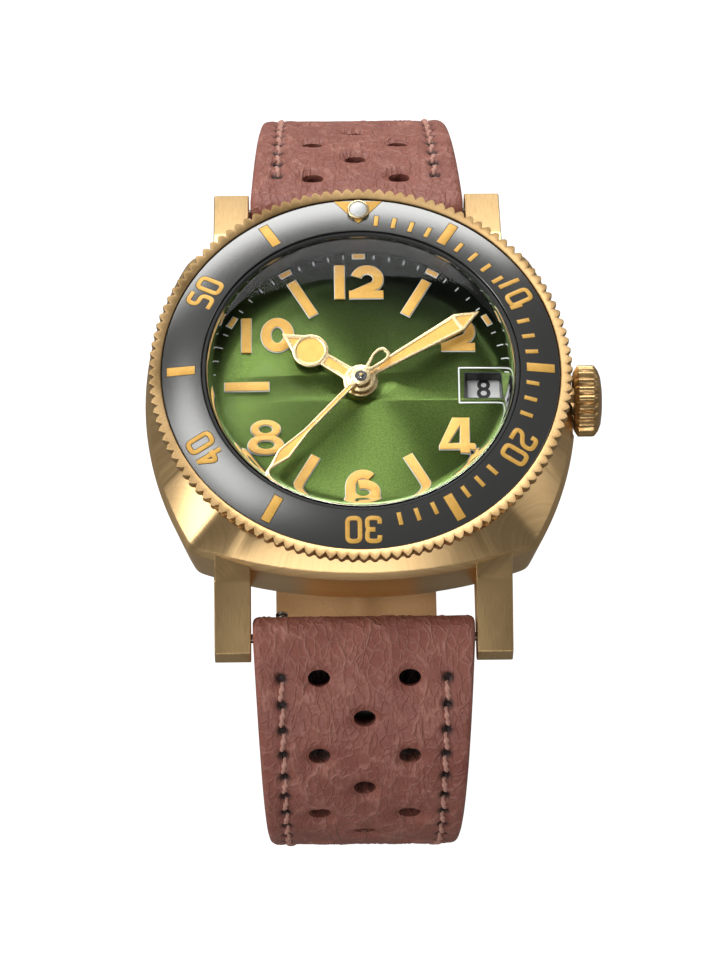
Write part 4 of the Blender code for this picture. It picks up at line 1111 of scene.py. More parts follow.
def eight_outlines(pen):
    """Two stacked rings: their outer line without its inner crossings, and two holes."""
    swell = (pen - PEN) / 2
    upper = (1.28 + swell, 0.88 + swell, (0.0, 0.79))
    lower = (1.53 + swell, 0.96 + swell, (0.0, -0.72))

    def outside(point, other):
        x = (point.x - other[2][0]) / other[0]
        y = (point.y - other[2][1]) / other[1]
        return x * x + y * y > 1.0

    top = ellipse(upper[0], upper[1], -90.0, 270.0, upper[2], 4.0)
    base = ellipse(lower[0], lower[1], 90.0, 450.0, lower[2], 4.0)
    outline = [p for p in top if outside(p, lower)] + [p for p in base if outside(p, upper)]
    holes = [
        ellipse(0.62 - swell, 0.42 - swell, centre=upper[2]),
        ellipse(0.78 - swell, 0.44 - swell, centre=lower[2]),
    ]
    return [[outline, *holes]]


def shifted(shapes, x, y=0.0):
    """Move a list of shapes, each a list of outlines."""
    return [[[Vector(p) + Vector((x, y)) for p in line] for line in shape] for shape in shapes]


def numeral_shapes(label, pen):
    """Upright dial numerals about their own middle, in the monoline style of the dial."""
    one = [stroke([(0.0, -1.7), (0.0, 1.7)], pen)]
    zero = [stroke(ellipse(0.99, 1.24), pen, closed=True)]
    if label == "12":
        return shifted(one, -1.68) + shifted(two_outlines(pen), 0.62)
    if label == "10":
        return shifted(one, -2.0) + shifted(zero, 0.72)
    return {"2": two_outlines, "4": four_outlines, "6": six_outlines, "8": eight_outlines}[label](pen)


NUMERALS = {
    "12": (0.0, 10.15), "2": (8.5, 4.95), "4": (8.25, -4.95),
    "6": (0.05, -9.85), "8": (-8.25, -4.95), "10": (-7.85, 5.0),
}
# Half width, half height and the radius of the middle.
BATON = (0.41, 1.93, 9.85)
BATON_HOURS = (1, 5, 7, 9, 11)
MINUTE_LINE = (0.05, 0.22, 12.75)
HOUR_BLOCK = (0.5, 0.21, 12.8)
DATE_HOUR = 3
DAYS = 31
DAY_SHOWN = 8
DAY_SIZE = 2.55
DAY_SWELL = 0.04


def marker_pieces(name, place, shapes_at):
    """A silver foot and a thicker lume block for one dial marker, from its shapes at a swell."""
    for layer, swell in (("frame", RIM), ("lume", 0.0)):
        low = DIAL_TOP + 0.005
        high = DIAL_TOP + MARKER_HEIGHTS[layer]
        meshes = [
            plate_mesh(name, outlines, low, high - OVERLAP_STEP * k, 0.04, place)
            for k, outlines in enumerate(shapes_at(swell))
        ]
        mesh = merged(f"{name}_{layer}", meshes)
        add_piece(f"{name}_{layer}", mesh, MARKER_PAINTS[layer], "case")


def make_markers():
    """Numerals and batons of the dial."""
    for label, (x, y) in NUMERALS.items():
        place = Matrix.Translation((x * MM, y * MM, 0.0))
        marker_pieces(f"numeral_{label}", place, lambda swell: numeral_shapes(label, PEN + swell))
    half_width, half_height, radius = BATON
    for hour in BATON_HOURS:
        marker_pieces(
            f"baton_{hour}",
            clockwise(30.0 * hour),
            lambda swell: [[box_outline(half_width + swell / 2, half_height + swell / 2, (0.0, radius))]],
        )


def make_minute_track():
    """Fine minute lines and a small gilt block at each hour but the date's."""
    half_width, half_height, radius = MINUTE_LINE
    tick = box_outline(half_width, half_height, (0.0, radius))
    lines = [
        plate_mesh("tick", [tick], DIAL_TOP, DIAL_TOP + 0.03, 0.0, clockwise(6.0 * minute))
        for minute in range(60)
        if minute % 5
    ]
    add_piece("minute_lines", merged("minute_lines", lines), "dial_silver", "case")
    half_width, half_height, radius = HOUR_BLOCK
    for name, swell, height, paint in (
        ("hour_block_frames", 0.07, 0.1, "dial_silver"),
        ("hour_blocks", 0.0, 0.16, "dial_lume"),
    ):
        outline = box_outline(half_width + swell, half_height + swell, (0.0, radius))
        blocks = [
            plate_mesh(name, [outline], DIAL_TOP, DIAL_TOP + height, 0.03, clockwise(30.0 * hour))
            for hour in range(12)
            if hour != DATE_HOUR
        ]
        add_piece(name, merged(name, blocks), paint, "case")


def day_numeral(day):
    """One numeral of the date ring, lying where it is read on the day shown."""
    text = bpy.data.curves.new("day", "FONT")
    text.body = str(day)
    text.size = DAY_SIZE * MM
    text.align_x = "CENTER"
    text.align_y = "CENTER"
    text.extrude = 0.01 * MM
    text.offset = DAY_SWELL * MM
    mesh = finished_mesh(put_in_scene("day", text))
    turn = Matrix.Rotation(math.radians(360.0 / DAYS * (day - DAY_SHOWN)), 4, "Z")
    centre = Vector((WINDOW_X, 0.18, DATE_DISC_TOP + 0.02)) * MM
    mesh.transform(turn @ Matrix.Translation(centre))
    return mesh


def make_date_disc():
    """White date ring with its thirty-one numerals, one of them in the window."""
    outlines = [ellipse(radius, radius, step=3.0) for radius in (12.6, 8.8)]
    mesh = plate_mesh("date_ring", outlines, DATE_DISC_TOP - 0.25, DATE_DISC_TOP, 0.03)
    add_piece("date_ring", mesh, "date_white", "date_disc", ["date_disc"])
    numerals = merged("date_numerals", [day_numeral(day) for day in range(1, DAYS + 1)])
    add_piece("date_numerals", numerals, "ink", "date_disc")


# ---------------------------------------------------------------- hands
def mirrored(half):
    """Close a right half outline about the hand's long axis."""
    return [Vector(p) for p in half] + [Vector((-x, y)) for x, y in reversed(half) if x != 0.0]


def hand_pieces(name, outline, windows, levels, angle, hole, body, node):
    """A gilt frame with its lume windows, drawn towards 12 and turned to its time."""
    low, high = levels
    place = clockwise(angle)
    outlines = [outline, ellipse(hole, hole, step=12.0)] + windows
    mesh = plate_mesh(name, outlines, low, high, 0.045, place)
    add_piece(f"{name}_frame", mesh, "hand_gold", body, [node])
    if windows:
        filled = [plate_mesh(name, [w], low + 0.02, high - 0.06, 0.0, place) for w in windows]
        add_piece(f"{name}_lume", merged(name, filled), "dial_lume", body)


def make_hour_hand():
    """Short hand with a disc and a pointed tip."""
    hub = ellipse(1.5, 1.5, -90.0, 62.0)
    disc = ellipse(1.58, 1.58, -66.0, 52.0, (0.0, 5.25), 8.0)
    outline = mirrored(hub + [(0.64, 1.6), (0.62, 3.7)] + disc + [(0.0, 8.25)])
    windows = [
        box_outline(0.33, 1.02, (0.0, 2.55)),
        ellipse(1.2, 1.2, centre=(0.0, 5.25)),
        [(-0.42, 6.72), (0.42, 6.72), (0.0, 7.5)],
    ]
    hand_pieces("hour", outline, windows, HOUR_Z, HOUR_ANGLE, 1.0, "hours", "hour_hand")


def make_minute_hand():
    """Long hand that widens to a pointed tip."""
    hub = ellipse(1.3, 1.3, -90.0, 70.0)
    outline = mirrored(hub + [(0.42, 1.6), (0.9, 10.3), (0.0, 12.4)])
    windows = [
        [(-0.2, 1.9), (0.2, 1.9), (0.6, 9.95), (-0.6, 9.95)],
        [(-0.58, 10.3), (0.58, 10.3), (0.0, 11.75)],
    ]
    hand_pieces("minute", outline, windows, MINUTE_Z, MINUTE_ANGLE, 0.7, "minutes", "minute_hand")


def make_seconds_hand():
    """Thin hand with a slim diamond tip, an open loop for its tail and a cap on its pivot."""
    tail = [(0.0, -3.45), (0.42, -3.4), (0.66, -2.95), (0.66, -2.3), (0.3, -0.9)]
    hub = ellipse(0.86, 0.86, -70.0, 76.0)
    stem = [(0.24, 1.2), (0.24, 7.2), (0.62, 10.1), (0.14, 11.9), (0.0, 12.85)]
    outline = mirrored(tail + hub + stem)
    windows = [
        [(-0.09, 1.35), (0.09, 1.35), (0.09, 5.75), (-0.09, 5.75)],
        [(-0.1, 6.0), (0.1, 6.0), (0.1, 7.3), (0.44, 10.05), (0.0, 11.5), (-0.44, 10.05), (-0.1, 7.3)],
    ]
    low, high = SECONDS_Z
    place = clockwise(SECONDS_ANGLE)
    loop = mirrored([(0.1, -1.2), (0.45, -2.35), (0.42, -2.85), (0.28, -3.15)])
    outlines = [outline, ellipse(0.2, 0.2, step=15.0), loop] + windows
    mesh = plate_mesh("seconds", outlines, low, high, 0.03, place)
    add_piece("seconds_frame", mesh, "hand_gold", "seconds", ["seconds_hand"])
    filled = [plate_mesh("seconds", [w], low + 0.02, high - 0.04, 0.0, place) for w in windows]
    add_piece("seconds_lume", merged("seconds_lume", filled), "dial_lume", "seconds")
    cap = [
        (0.0, high + 0.16), (0.16, high + 0.14), (0.24, high + 0.04), (0.5, high + 0.04),
        (0.56, high - 0.02), (0.24, high - 0.02), (0.0, high - 0.02),
    ]
    turned_piece("seconds_cap", cap, "dark_steel", "seconds", steps=40, loop=False)


# ---------------------------------------------------------------- crown
def make_crown():
    """Fluted crown, hollow behind, with chamfered ends and a gently domed face."""
    rows = [
        (0.0, 21.2, 0.0), (2.0, 21.2, 0.0), (2.0, CROWN_START, 0.0), (2.55, CROWN_START, 0.0),
        (2.72, CROWN_START + 0.08, 0.1), (CROWN_VALLEY, CROWN_START + 0.42, 1.0),
        (CROWN_VALLEY, 21.0, 1.0), (CROWN_VALLEY, 21.2, 0.85), (2.74, 21.5, 0.25), (2.62, 21.58, 0.0),
        (2.2, 21.74, 0.0), (1.4, 21.85, 0.0), (0.0, CROWN_END, 0.0),
    ]

    def wave(angle):
        return (0.5 + 0.5 * math.cos(math.radians(angle * CROWN_FLUTES))) ** 0.6

    upright = toothed_rings(rows, 12 * CROWN_FLUTES, CROWN_RADIUS - CROWN_VALLEY, wave)
    rings = [[(along, x, y + CROWN_AXIS_Z) for x, y, along in ring] for ring in upright]
    mesh = scaled_mesh("crown", skin_rings(rings))
    add_piece("crown_knob", mesh, "bronze_satin", "crown", ["crown"], 45.0)


# ---------------------------------------------------------------- strap
WRAP_THICK = 0.9
RETURN_LENGTH = 4.9
WRAP_LENGTH = math.pi * STRAP_FOLD_RADIUS
FINE_STEP = 0.26
COARSE_STEP = 0.7
FINE_UNTIL = 46.0
ACROSS = 74
STITCH_START = 3.8
STITCH_INSET_AT_LUG = 2.3
STITCH_INSET_CHANGE = 0.75
STITCH_TAPER_LENGTH = 29.0
STITCH_PITCH = 2.45
STITCH_GAP = 0.3
STITCH_RINGS = 16
STITCH_ARCH = 0.3
STITCH_SINK = 0.38
STITCH_SLANT = 0.3
THREAD_RADIUS = 0.22
THREAD_SIDES = 12
PLY_BULGE = 0.28
PLY_TWIST = 2.6
NEEDLE_RADIUS = 0.42
NEEDLE_DEPTH = 0.4
CHANNEL_DEPTH = 0.14
CHANNEL_WIDTH = 0.4
EDGE_CROWDING = 1.25
HOLE_GRASP = 1.45
DIP_DEPTH = 0.42
DIP_REACH = 1.2
CREASE_RISE = 0.09
WAVE_RISE = 0.05
WRAP_UNDERSIDE_END = 1.05
TIP_BLUNT = 0.55
EDGE_ROUND = 0.55
EDGE_ROUND_SHARE = 0.9
LINING_START = 5.0
LINING_SHORTER = 3.2
STITCH_END_AT_TIP = 6.0
STITCH_END_AT_BUCKLE = 22.0


class StrapLine:
    """The strap's outer face as a function of length from where it leaves the bar."""

    def __init__(self, start_angle, route, side):
        self.side = side
        wrap_angle = math.radians(start_angle) + math.pi
        start = Vector((BAR_Y, BAR_Z)) + STRAP_FOLD_RADIUS * Vector(
            (math.cos(wrap_angle), math.sin(wrap_angle))
        )
        start -= RETURN_LENGTH * Vector((math.sin(wrap_angle), -math.cos(wrap_angle)))
        self.first = -WRAP_LENGTH - RETURN_LENGTH
        pieces = [(RETURN_LENGTH, 0.0), (STRAP_FOLD_RADIUS, 180.0)] + route
        self.parts = []
        length, point, angle = self.first, start, wrap_angle
        for size, turn in pieces:
            run = size * math.radians(turn) if turn else size
            self.parts.append((length, point, angle, size if turn else None))
            point, angle = self.step(point, angle, size if turn else None, run)
            length += run
        self.total = length

    @staticmethod
    def step(point, angle, radius, run):
        """Where a stretch that starts at point and angle has got to after run."""
        if radius is None:
            return point + run * Vector((math.sin(angle), -math.cos(angle))), angle
        centre = point - radius * Vector((math.cos(angle), math.sin(angle)))
        angle -= run / radius
        return centre + radius * Vector((math.cos(angle), math.sin(angle))), angle

    def at(self, length):
        """The outer face's point and outward normal at a length."""
        part = next(p for p in reversed(self.parts) if p[0] <= length or p is self.parts[0])
        point, angle = self.step(part[1], part[2], part[3], length - part[0])
        return (
            Vector((0.0, self.side * point.x, point.y)),
            Vector((0.0, self.side * math.cos(angle), math.sin(angle))),
        )


def tapered(at_lug, at_end, length):
    """A size that shrinks evenly from the lug and then stays the same."""
    share = min(1.0, max(0.0, length) / STRAP_TAPER_LENGTH)
    return at_lug + share * (at_end - at_lug)


def strap_half_width(length):
    """The part folded back under the strap matches the part above it."""
    above = max(length, -WRAP_LENGTH - length)
    return tapered(STRAP_WIDTH_AT_LUG, STRAP_WIDTH_AT_END, above) / 2


def strap_thickness(length):
    """Leather and lining together."""
    return tapered(STRAP_THICK_AT_LUG, STRAP_THICK_AT_END, length)


def tip_share(left, tip):
    """How far the rounded end draws in the half width."""
    if left >= tip:
        return 1.0
    return TIP_BLUNT + (1.0 - TIP_BLUNT) * math.sqrt(max(0.0, 1.0 - (1.0 - left / tip) ** 2))


def hole_places(rows):
    """(x, length) of each perforation: pairs on even rows, single ones between."""
    places = []
    for row in range(rows):
        length = HOLE_FIRST_ROW + HOLE_ROW_PITCH * row
        columns = (-HOLE_COLUMN, HOLE_COLUMN) if row % 2 == 0 else (0.0,)
        places += [(column, length) for column in columns]
    return places


def from_hole(spot, hole):
    """Offset from a hole's centre, scaled so that the pulled-in hole is a unit circle."""
    reach = Vector((HOLE_RADIUS, HOLE_RADIUS * HOLE_SQUASH))
    return Vector(((spot.x - hole[0]) / reach.x, (spot.y - hole[1]) / reach.y))


def crease_height(x, length, seed):
    """Raised wrinkles of the leather from 0 to 1, long and branching."""
    spot = Vector((x * 0.42 + seed, length * 0.2, seed * 1.7))
    bend = Vector((noise.noise(spot * 2.3), noise.noise(spot * 2.3 + Vector((7.0, 3.0, 1.0))), 0.0))
    distances = noise.voronoi(spot * 1.5 + bend * 0.9)[0]
    ridge = math.exp(-(((distances[1] - distances[0]) / 0.055) ** 2))
    presence = smooth_step(-0.15, 0.3, noise.noise(spot * 0.8 + Vector((2.0, 9.0, 4.0))))
    return ridge * presence


def flat_sheet(bm, stations, half_width):
    """Fill bm with a grid of faces and return each vertex's flat place as (x, length)."""
    spread = [2.0 * i / ACROSS - 1.0 for i in range(ACROSS + 1)]
    spread = [math.copysign(1.0 - (1.0 - abs(u)) ** EDGE_CROWDING, u) for u in spread]
    flat = {}
    rows = []
    for length in stations:
        row = [bm.verts.new((0.0, 0.0, 0.0)) for _ in spread]
        for vert, u in zip(row, spread):
            flat[vert] = Vector((u * half_width(length), length))
        rows.append(row)
    for first, second in zip(rows, rows[1:]):
        for i in range(ACROSS):
            bm.faces.new((first[i], first[i + 1], second[i + 1], second[i]))
    return flat


def open_holes(bm, flat, holes):
    """Take out the faces inside the holes and pull the ragged rims to smooth ovals."""
    inside = []
    for face in bm.faces:
        middle = sum((flat[v] for v in face.verts), Vector((0.0, 0.0))) / 4
        if any(from_hole(middle, hole).length < 1.0 for hole in holes):
            inside.append(face)
    bmesh.ops.delete(bm, geom=inside, context="FACES")
    for vert in bm.verts:
        if not vert.is_boundary:
            continue
        for hole in holes:
            away = from_hole(flat[vert], hole)
            if away.length < HOLE_GRASP:
                rim = away.normalized() * HOLE_RADIUS
                flat[vert] = Vector((hole[0] + rim.x, hole[1] + rim.y * HOLE_SQUASH))


def hole_dip(spot, holes):
    """How far the leather is drawn in round the holes."""
    dip = 0.0
    for hole in holes:
        away = (from_hole(spot, hole).length - 1.0) * HOLE_RADIUS
        if away < DIP_REACH:
            dip += DIP_DEPTH * math.exp(-((max(0.0, away) / DIP_DEPTH) ** 2))
    return dip


def sheet_mesh(name, line, stations, half_width, top_depth, low_depth, holes, seed=None, stitches=None):
    """A sheet of leather with round holes, as a closed mesh with crease values and pit_shade values of
    painted shade.

    top_depth and low_depth give each face's depth below the outer face. A seed adds creases.
    """
    bm = bmesh.new()
    crease_layer = bm.verts.layers.float.new("crease")
    pit_shade_layer = bm.verts.layers.float.new("pit_shade")
    flat = flat_sheet(bm, stations, half_width)
    open_holes(bm, flat, holes)
    top_faces = list(bm.faces)
    rim_edges = [e for e in bm.edges if e.is_boundary]
    lower = {}
    for vert in list(bm.verts):
        x, length = flat[vert]
        point, normal = line.at(length)
        gap = half_width(length) - abs(x)
        depth = top_depth(length) + edge_drop(gap) + hole_dip(flat[vert], holes)
        if seed is not None and length > -WRAP_LENGTH * 0.7:
            crease = crease_height(x, length, seed)
            vert[crease_layer] = crease
            depth -= CREASE_RISE * crease * smooth_step(0.1, 0.8, gap)
            depth += WAVE_RISE * noise.noise(Vector((x * 0.5, length * 0.35, seed)))
        if stitches is not None:
            depth, pit_shade = stitch_pits(gap, length, stitches, depth)
            vert[pit_shade_layer] = pit_shade
        vert.co = point - normal * depth + Vector((x, 0.0, 0.0))
        lower[vert] = bm.verts.new(point - normal * low_depth(length) + Vector((x, 0.0, 0.0)))
        # Painted shade: faces hidden between leather and lining are marked to be painted near black.
        if gap > 0.3:
            hidden = vert if seed is None else lower[vert]
            hidden[pit_shade_layer] = 1.0
    for face in top_faces:
        bm.faces.new([lower[v] for v in reversed(face.verts)])
    for edge in rim_edges:
        a, b = edge.verts
        bm.faces.new((a, b, lower[b], lower[a]))
    loose = [v for v in bm.verts if not v.link_faces]
    bmesh.ops.delete(bm, geom=loose, context="VERTS")
    return scaled_mesh(name, bm)


def stitch_inset(length):
    """Distance of the stitching from the strap's edge, wider near the lugs."""
    share = min(1.0, max(0.0, length - STITCH_START) / STITCH_TAPER_LENGTH)
    return STITCH_INSET_AT_LUG - STITCH_INSET_CHANGE * share


def edge_drop(gap):
    """How far the rounded side edge falls below the face."""
    if gap >= EDGE_ROUND:
        return 0.0
    share = 1.0 - max(0.0, gap) / EDGE_ROUND
    return EDGE_ROUND * (1.0 - math.sqrt(max(0.0, 1.0 - share * share))) * EDGE_ROUND_SHARE


def stitch_pits(gap, length, stitches, depth):
    """A shallow channel under the thread, with a pit at each needle hole whose shade is painted dark."""
    first, last = stitches
    off = gap - stitch_inset(length)
    if not first - 0.6 < length < last + 0.6:
        return depth, 0.0
    depth += CHANNEL_DEPTH * math.exp(-((off / CHANNEL_WIDTH) ** 2))
    phase = (length - first + STITCH_PITCH / 2) % STITCH_PITCH - STITCH_PITCH / 2
    away = math.hypot(off, phase)
    pit_shade = math.exp(-((away / NEEDLE_RADIUS) ** 2))
    # The pit's shade, painted dark at each needle hole.
    return depth + NEEDLE_DEPTH * pit_shade, min(1.0, 2.4 * pit_shade)


def station_list(first, last):
    """Lengths along the strap: fine near the watch, coarser out of sight."""
    stations = [first]
    while stations[-1] < last - 1e-6:
        step = FINE_STEP if stations[-1] < FINE_UNTIL else COARSE_STEP
        stations.append(min(last, stations[-1] + step))
    return stations


def stitch_rings(line, half_width, side, start):
    """Cross-sections along one twisted stitch that dips into a needle hole at each end."""
    rings = []
    for k in range(STITCH_RINGS + 1):
        share = k / STITCH_RINGS
        length = start + STITCH_GAP + share * (STITCH_PITCH - 2 * STITCH_GAP)
        point, normal = line.at(length)
        along = (line.at(length + 0.01)[0] - point).normalized()
        rise = STITCH_ARCH * math.sin(math.pi * share) ** 0.6 - STITCH_SINK
        x = side * (half_width(length) - stitch_inset(length) + STITCH_SLANT * (share - 0.5))
        centre = point + normal * rise + Vector((x, 0.0, 0.0))
        thick = THREAD_RADIUS * (0.55 + 0.45 * math.sin(math.pi * share) ** 0.5)
        across = along.cross(normal)
        ring = []
        for j in range(THREAD_SIDES):
            angle = 2 * math.pi * j / THREAD_SIDES
            lobe = 1.0 + PLY_BULGE * math.cos(2 * (angle - share * PLY_TWIST * math.pi))
            offset = across * math.cos(angle) + normal * math.sin(angle)
            ring.append(centre + offset * thick * lobe)
        rings.append(ring)
    return rings


def stitch_mesh(line, half_width, first, last):
    """Rows of two-ply stitches along both sides of a strap."""
    bm = bmesh.new()
    for side in (-1, 1):
        for i in range(int((last - first) / STITCH_PITCH)):
            rings = stitch_rings(line, half_width, side, first + i * STITCH_PITCH)
            rows = [[bm.verts.new(point) for point in ring] for ring in rings]
            for a, b in zip(rows, rows[1:]):
                skin(bm, a, b)
            bm.faces.new(rows[0])
            bm.faces.new(rows[-1])
    return scaled_mesh("stitches", bm)


def notch_mesh(side):
    """Cutter for the slot that the release knob slides in."""
    notch = bmesh.new()
    bmesh.ops.create_cube(notch, size=1.0)
    bmesh.ops.scale(notch, vec=(4.0, 3.3, 3.2), verts=notch.verts)
    bmesh.ops.translate(notch, vec=(-6.6, side * BAR_Y - side * 0.75, BAR_Z - 1.0), verts=notch.verts)
    return scaled_mesh("notch", notch)


def make_strap(name, start_angle, route, side, tip, rows, seed):
    """Leather, lining and stitching of one half of the strap; tip is its rounded end's length."""
    line = StrapLine(start_angle, route, side)
    body = f"{name}_strap"
    holes = hole_places(rows)
    if tip:
        holes += [(0.0, ADJUST_FIRST + ADJUST_PITCH * i) for i in range(ADJUST_HOLES)]

    def half_width(length):
        return strap_half_width(length) * (tip_share(line.total - length, tip) if tip else 1.0)

    def leather_low(length):
        if length < WRAP_UNDERSIDE_END:
            return WRAP_THICK
        if length < LINING_START:
            return strap_thickness(length) - WRAP_THICK - 0.03
        return strap_thickness(length) - LINING_THICK - LAYER_GAP

    stitched = line.total - (STITCH_END_AT_TIP if tip else STITCH_END_AT_BUCKLE) - STITCH_START
    stitches = (STITCH_START, STITCH_START + int(stitched / STITCH_PITCH) * STITCH_PITCH)
    stations = station_list(line.first, line.total)
    leather_sheet = sheet_mesh(
        f"{name}_leather", line, stations, half_width, lambda s: 0.0, leather_low, holes, seed, stitches
    )
    leather_sheet = carve(leather_sheet, [notch_mesh(side)])
    add_piece(f"{name}_strap_leather", leather_sheet, "leather", body, [f"{name}_strap"], 50.0)
    lining_sheet = sheet_mesh(
        f"{name}_lining",
        line,
        station_list(LINING_START, line.total - (0.0 if tip else LINING_SHORTER)),
        lambda s: half_width(s) - 0.05,
        lambda s: strap_thickness(s) - LINING_THICK,
        strap_thickness,
        [h for h in holes if h[1] > LINING_HOLE_START],
    )
    add_piece(f"{name}_lining_skin", lining_sheet, "lining", body, [f"{name}_strap_lining"], 50.0)
    stitching = stitch_mesh(line, half_width, *stitches)
    add_piece(f"{name}_stitching", stitching, "thread", body)


def make_spring_bar(name, side):
    """A bar with a shouldered sleeve and thin tips."""
    half = [(BAR_PIN_RADIUS, 11.3), (BAR_PIN_RADIUS, 9.9), (0.62, 9.8), (0.62, 9.3), (BAR_BODY_RADIUS, 9.2)]
    profile = [(0.0, 11.3)] + half + [(r, -z) for r, z in reversed(half)] + [(0.0, -11.3)]
    mesh = lathe_mesh("bar", profile, 0.08, 2, 40)
    turn = Matrix.Rotation(math.pi / 2, 4, "Y")
    mesh.transform(Matrix.Translation((0.0, side * BAR_Y * MM, BAR_Z * MM)) @ turn)
    add_piece(f"{name}_bar", mesh, "steel", f"{name}_strap", [f"{name}_spring_bar"])


def make_release_knob(name, side):
    """The grooved knob that draws a bar's tip in."""
    low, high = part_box(f"{name}_release_knob")
    profile = [
        (0.0, 0.75), (0.38, 0.75), (0.55, 0.62), (0.55, 0.45), (0.42, 0.38), (0.55, 0.3),
        (0.55, 0.1), (0.38, 0.0), (0.38, -0.75), (0.0, -0.75),
    ]
    mesh = lathe_mesh("knob", profile, 0.06, 2, 36)
    mesh.transform(Matrix.Translation((low + high) / 2) @ Matrix.Rotation(side * math.pi / 2, 4, "X"))
    add_piece(f"{name}_knob", mesh, "dark_steel", f"{name}_release", [f"{name}_release_knob"])


# ---------------------------------------------------------------- buckle and keepers
def rounded_box(left, right, low, high, radius):
    """A rectangle between two pairs of sides, its corners rounded."""
    return rounded([(left, low), (right, low), (right, high), (left, high)], radius, 8)


def make_buckle():
    """Bronze bow with a rounded opening, and the steel pin that it turns on."""
    low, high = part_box("buckle_frame")
    low, high = low / MM, high / MM
    outer = rounded_box(low.x, high.x, low.y, high.y, 2.6)
    opening = rounded_box(low.x + 1.9, high.x - 1.9, low.y + 1.9, high.y + 3.0, 1.2)
    body = plate_mesh("buckle", [outer], low.z, high.z, 0.3)
    hole = plate_mesh("opening", [opening], low.z - 1.0, high.z + 1.0)
    bar_low, bar_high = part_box("buckle_bar")
    axis = (bar_low + bar_high) / 2 / MM
    bore = cylinder_mesh("bore", 0.75, 19.6, axis, (1, 0, 0), 32)
    body = carve(body, [hole, bore])
    add_piece("buckle_bow", body, "bronze_satin", "buckle_frame", ["buckle_frame"])
    pin = [(0.0, 9.7), (0.7, 9.7), (0.7, -9.7), (0.0, -9.7)]
    mesh = lathe_mesh("pin", pin, 0.12, 3, 40)
    mesh.transform(Matrix.Translation(axis * MM) @ Matrix.Rotation(math.pi / 2, 4, "Y"))
    add_piece("buckle_pin", mesh, "steel", "upper_strap", ["buckle_bar"])


def make_keepers():
    """Two soft-edged leather loops, each a band bent round the strap."""
    for node, body in (("fixed_keeper", "upper_strap"), ("free_keeper", "free_keeper")):
        low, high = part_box(node)
        low, high = low / MM, high / MM
        outer = rounded_box(low.x, high.x, low.z, high.z, 0.9)
        inner = rounded_box(low.x + 1.1, high.x - 1.1, low.z + 1.1, high.z - 1.1, 0.25)
        turn = Matrix.Rotation(math.pi / 2, 4, "X")
        mesh = plate_mesh(node, [outer, inner], -high.y, -low.y, 0.3, turn)
        add_piece(f"{node}_band", mesh, "leather", body, [node])


# ---------------------------------------------------------------- carried-over CAD nodes
def finish_cad_nodes():
    """Give every CAD node that still shows a procedural finish of its slot."""
    finishes = {
        "bronze": "bronze_satin", "bezel_black": "insert", "lume_white": "lume_white",
        "sapphire": "sapphire", "steel": "steel", "brass": "brass", "dial_green": "dial",
        "gold": "hand_gold", "date_white": "date_white", "black_ring": "black",
        "rubber": "rubber", "leather": "leather", "lining": "lining",
    }
    slots = {row["node"]: row["material_slot"] for row in frame["record"]["subparts"]}
    for name, node in frame["nodes"].items():
        if node.hide_render:
            continue
        node.data.materials.clear()
        node.data.materials.append(PAINTS[finishes[slots[name]]])


# ---------------------------------------------------------------- stage, light and camera
FLOOR_SIZE = 2500.0
FLOOR_GAP = 0.02
WORLD_STRENGTH = 0.2
# Each lamp: direction from the watch, distance, width and height in millimetres, and watts.
LAMPS = {
    "key": ((-0.10, 0.85, 0.52), 700.0, 680.0, 250.0, 4.4),
    "left": ((-0.86, -0.1, 0.5), 700.0, 200.0, 420.0, 1.7),
    "right": ((0.88, 0.1, 0.46), 700.0, 160.0, 420.0, 0.4),
    "front": ((-0.10, -0.87, 0.46), 700.0, 420.0, 160.0, 1.5),
    "top": ((-0.29, 0.29, 0.91), 600.0, 170.0, 200.0, 0.7),
}
CAMERA_PLACE = (-5.919, -207.035, 386.137)
CAMERA_TURN = (27.6897, -0.4147, -0.8679)
CAMERA_LENS = 178.78
CAMERA_SENSOR = 36.0


def make_stage():
    """A wide plain floor just under the watch."""
    bm = bmesh.new()
    bmesh.ops.create_grid(bm, x_segments=8, y_segments=8, size=FLOOR_SIZE)
    bmesh.ops.translate(bm, vec=(0.0, 0.0, CAD_BOUNDS[0].z / MM - FLOOR_GAP), verts=bm.verts)
    floor = put_in_scene("floor", scaled_mesh("floor", bm))
    floor.data.materials.append(floor_white())


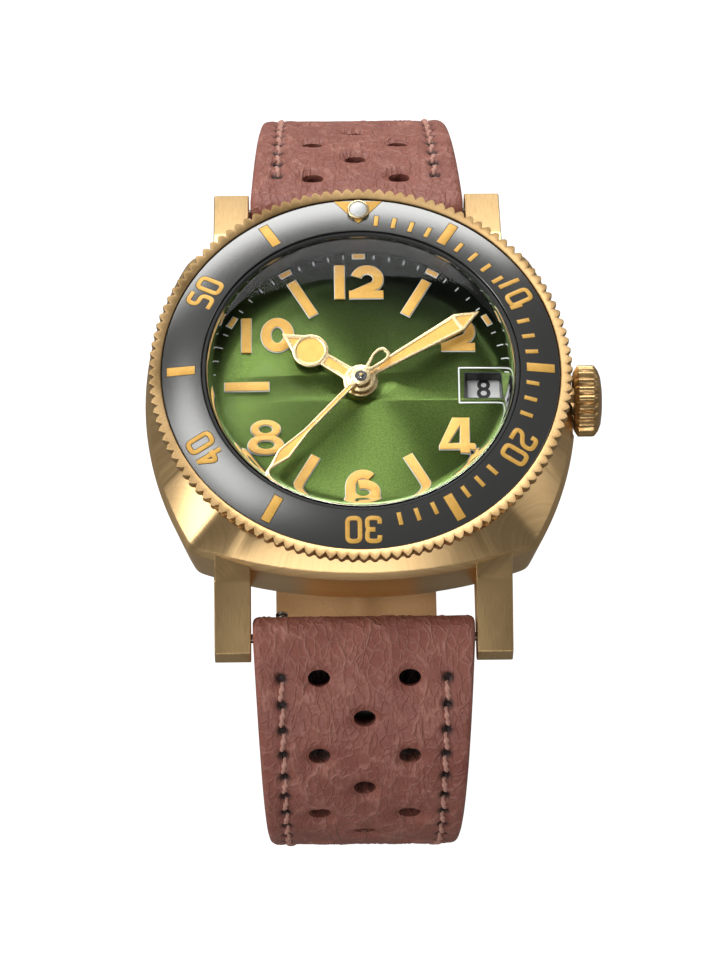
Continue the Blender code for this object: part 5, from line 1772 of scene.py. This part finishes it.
def soft_box(name, direction, distance, width, height, power):
    """An area lamp that looks at the dial from a direction; sizes in millimetres."""
    lamp = bpy.data.lights.new(name, "AREA")
    lamp.shape = "RECTANGLE"
    lamp.size = width * MM
    lamp.size_y = height * MM
    lamp.energy = power
    box = put_in_scene(name, lamp)
    away = Vector(direction).normalized()
    box.location = away * distance * MM
    box.rotation_euler = away.to_track_quat("Z", "Y").to_euler()
    box.visible_camera = False


def make_light():
    """White surroundings and soft boxes on every side."""
    world = bpy.data.worlds.new("studio")
    world.use_nodes = True
    background = world.node_tree.nodes["Background"]
    background.inputs["Color"].default_value = (1.0, 1.0, 1.0, 1.0)
    background.inputs["Strength"].default_value = WORLD_STRENGTH
    bpy.context.scene.world = world
    for name, settings in LAMPS.items():
        soft_box(name, *settings)


def make_camera():
    """Long lens in front of and above the watch, looking down on the dial."""
    camera = bpy.data.cameras.new("camera")
    camera.lens = CAMERA_LENS
    camera.sensor_width = CAMERA_SENSOR
    camera.clip_start = 0.01
    viewer = put_in_scene("camera", camera)
    viewer.location = Vector(CAMERA_PLACE) * MM
    viewer.rotation_euler = Euler([math.radians(a) for a in CAMERA_TURN], "XYZ")
    bpy.context.scene.camera = viewer
    bpy.context.scene.view_settings.view_transform = "Standard"


def make_watch():
    """Every piece, from the case outwards to the strap's ends."""
    make_case()
    make_case_back()
    make_bezel_ring()
    make_insert()
    make_insert_marks("insert_mark_edges", 0.07, 0.012, "marker_edge")
    make_insert_marks("insert_marks", 0.0, 0.03, "marker_gold")
    make_pip()
    make_crystal()
    make_rings_under_crystal()
    make_dial()
    make_markers()
    make_minute_track()
    make_date_disc()
    make_hour_hand()
    make_minute_hand()
    make_seconds_hand()
    make_crown()
    make_strap("lower", LOWER_START_ANGLE, LOWER_ROUTE, -1, 9.0, 8, 3.0)
    make_strap("upper", UPPER_START_ANGLE, UPPER_ROUTE, 1, 0.0, 6, 11.0)
    for name, side in (("lower", -1), ("upper", 1)):
        make_spring_bar(name, side)
        make_release_knob(name, side)
    make_buckle()
    make_keepers()
    finish_cad_nodes()


make_camera()
make_stage()
make_light()
make_watch()
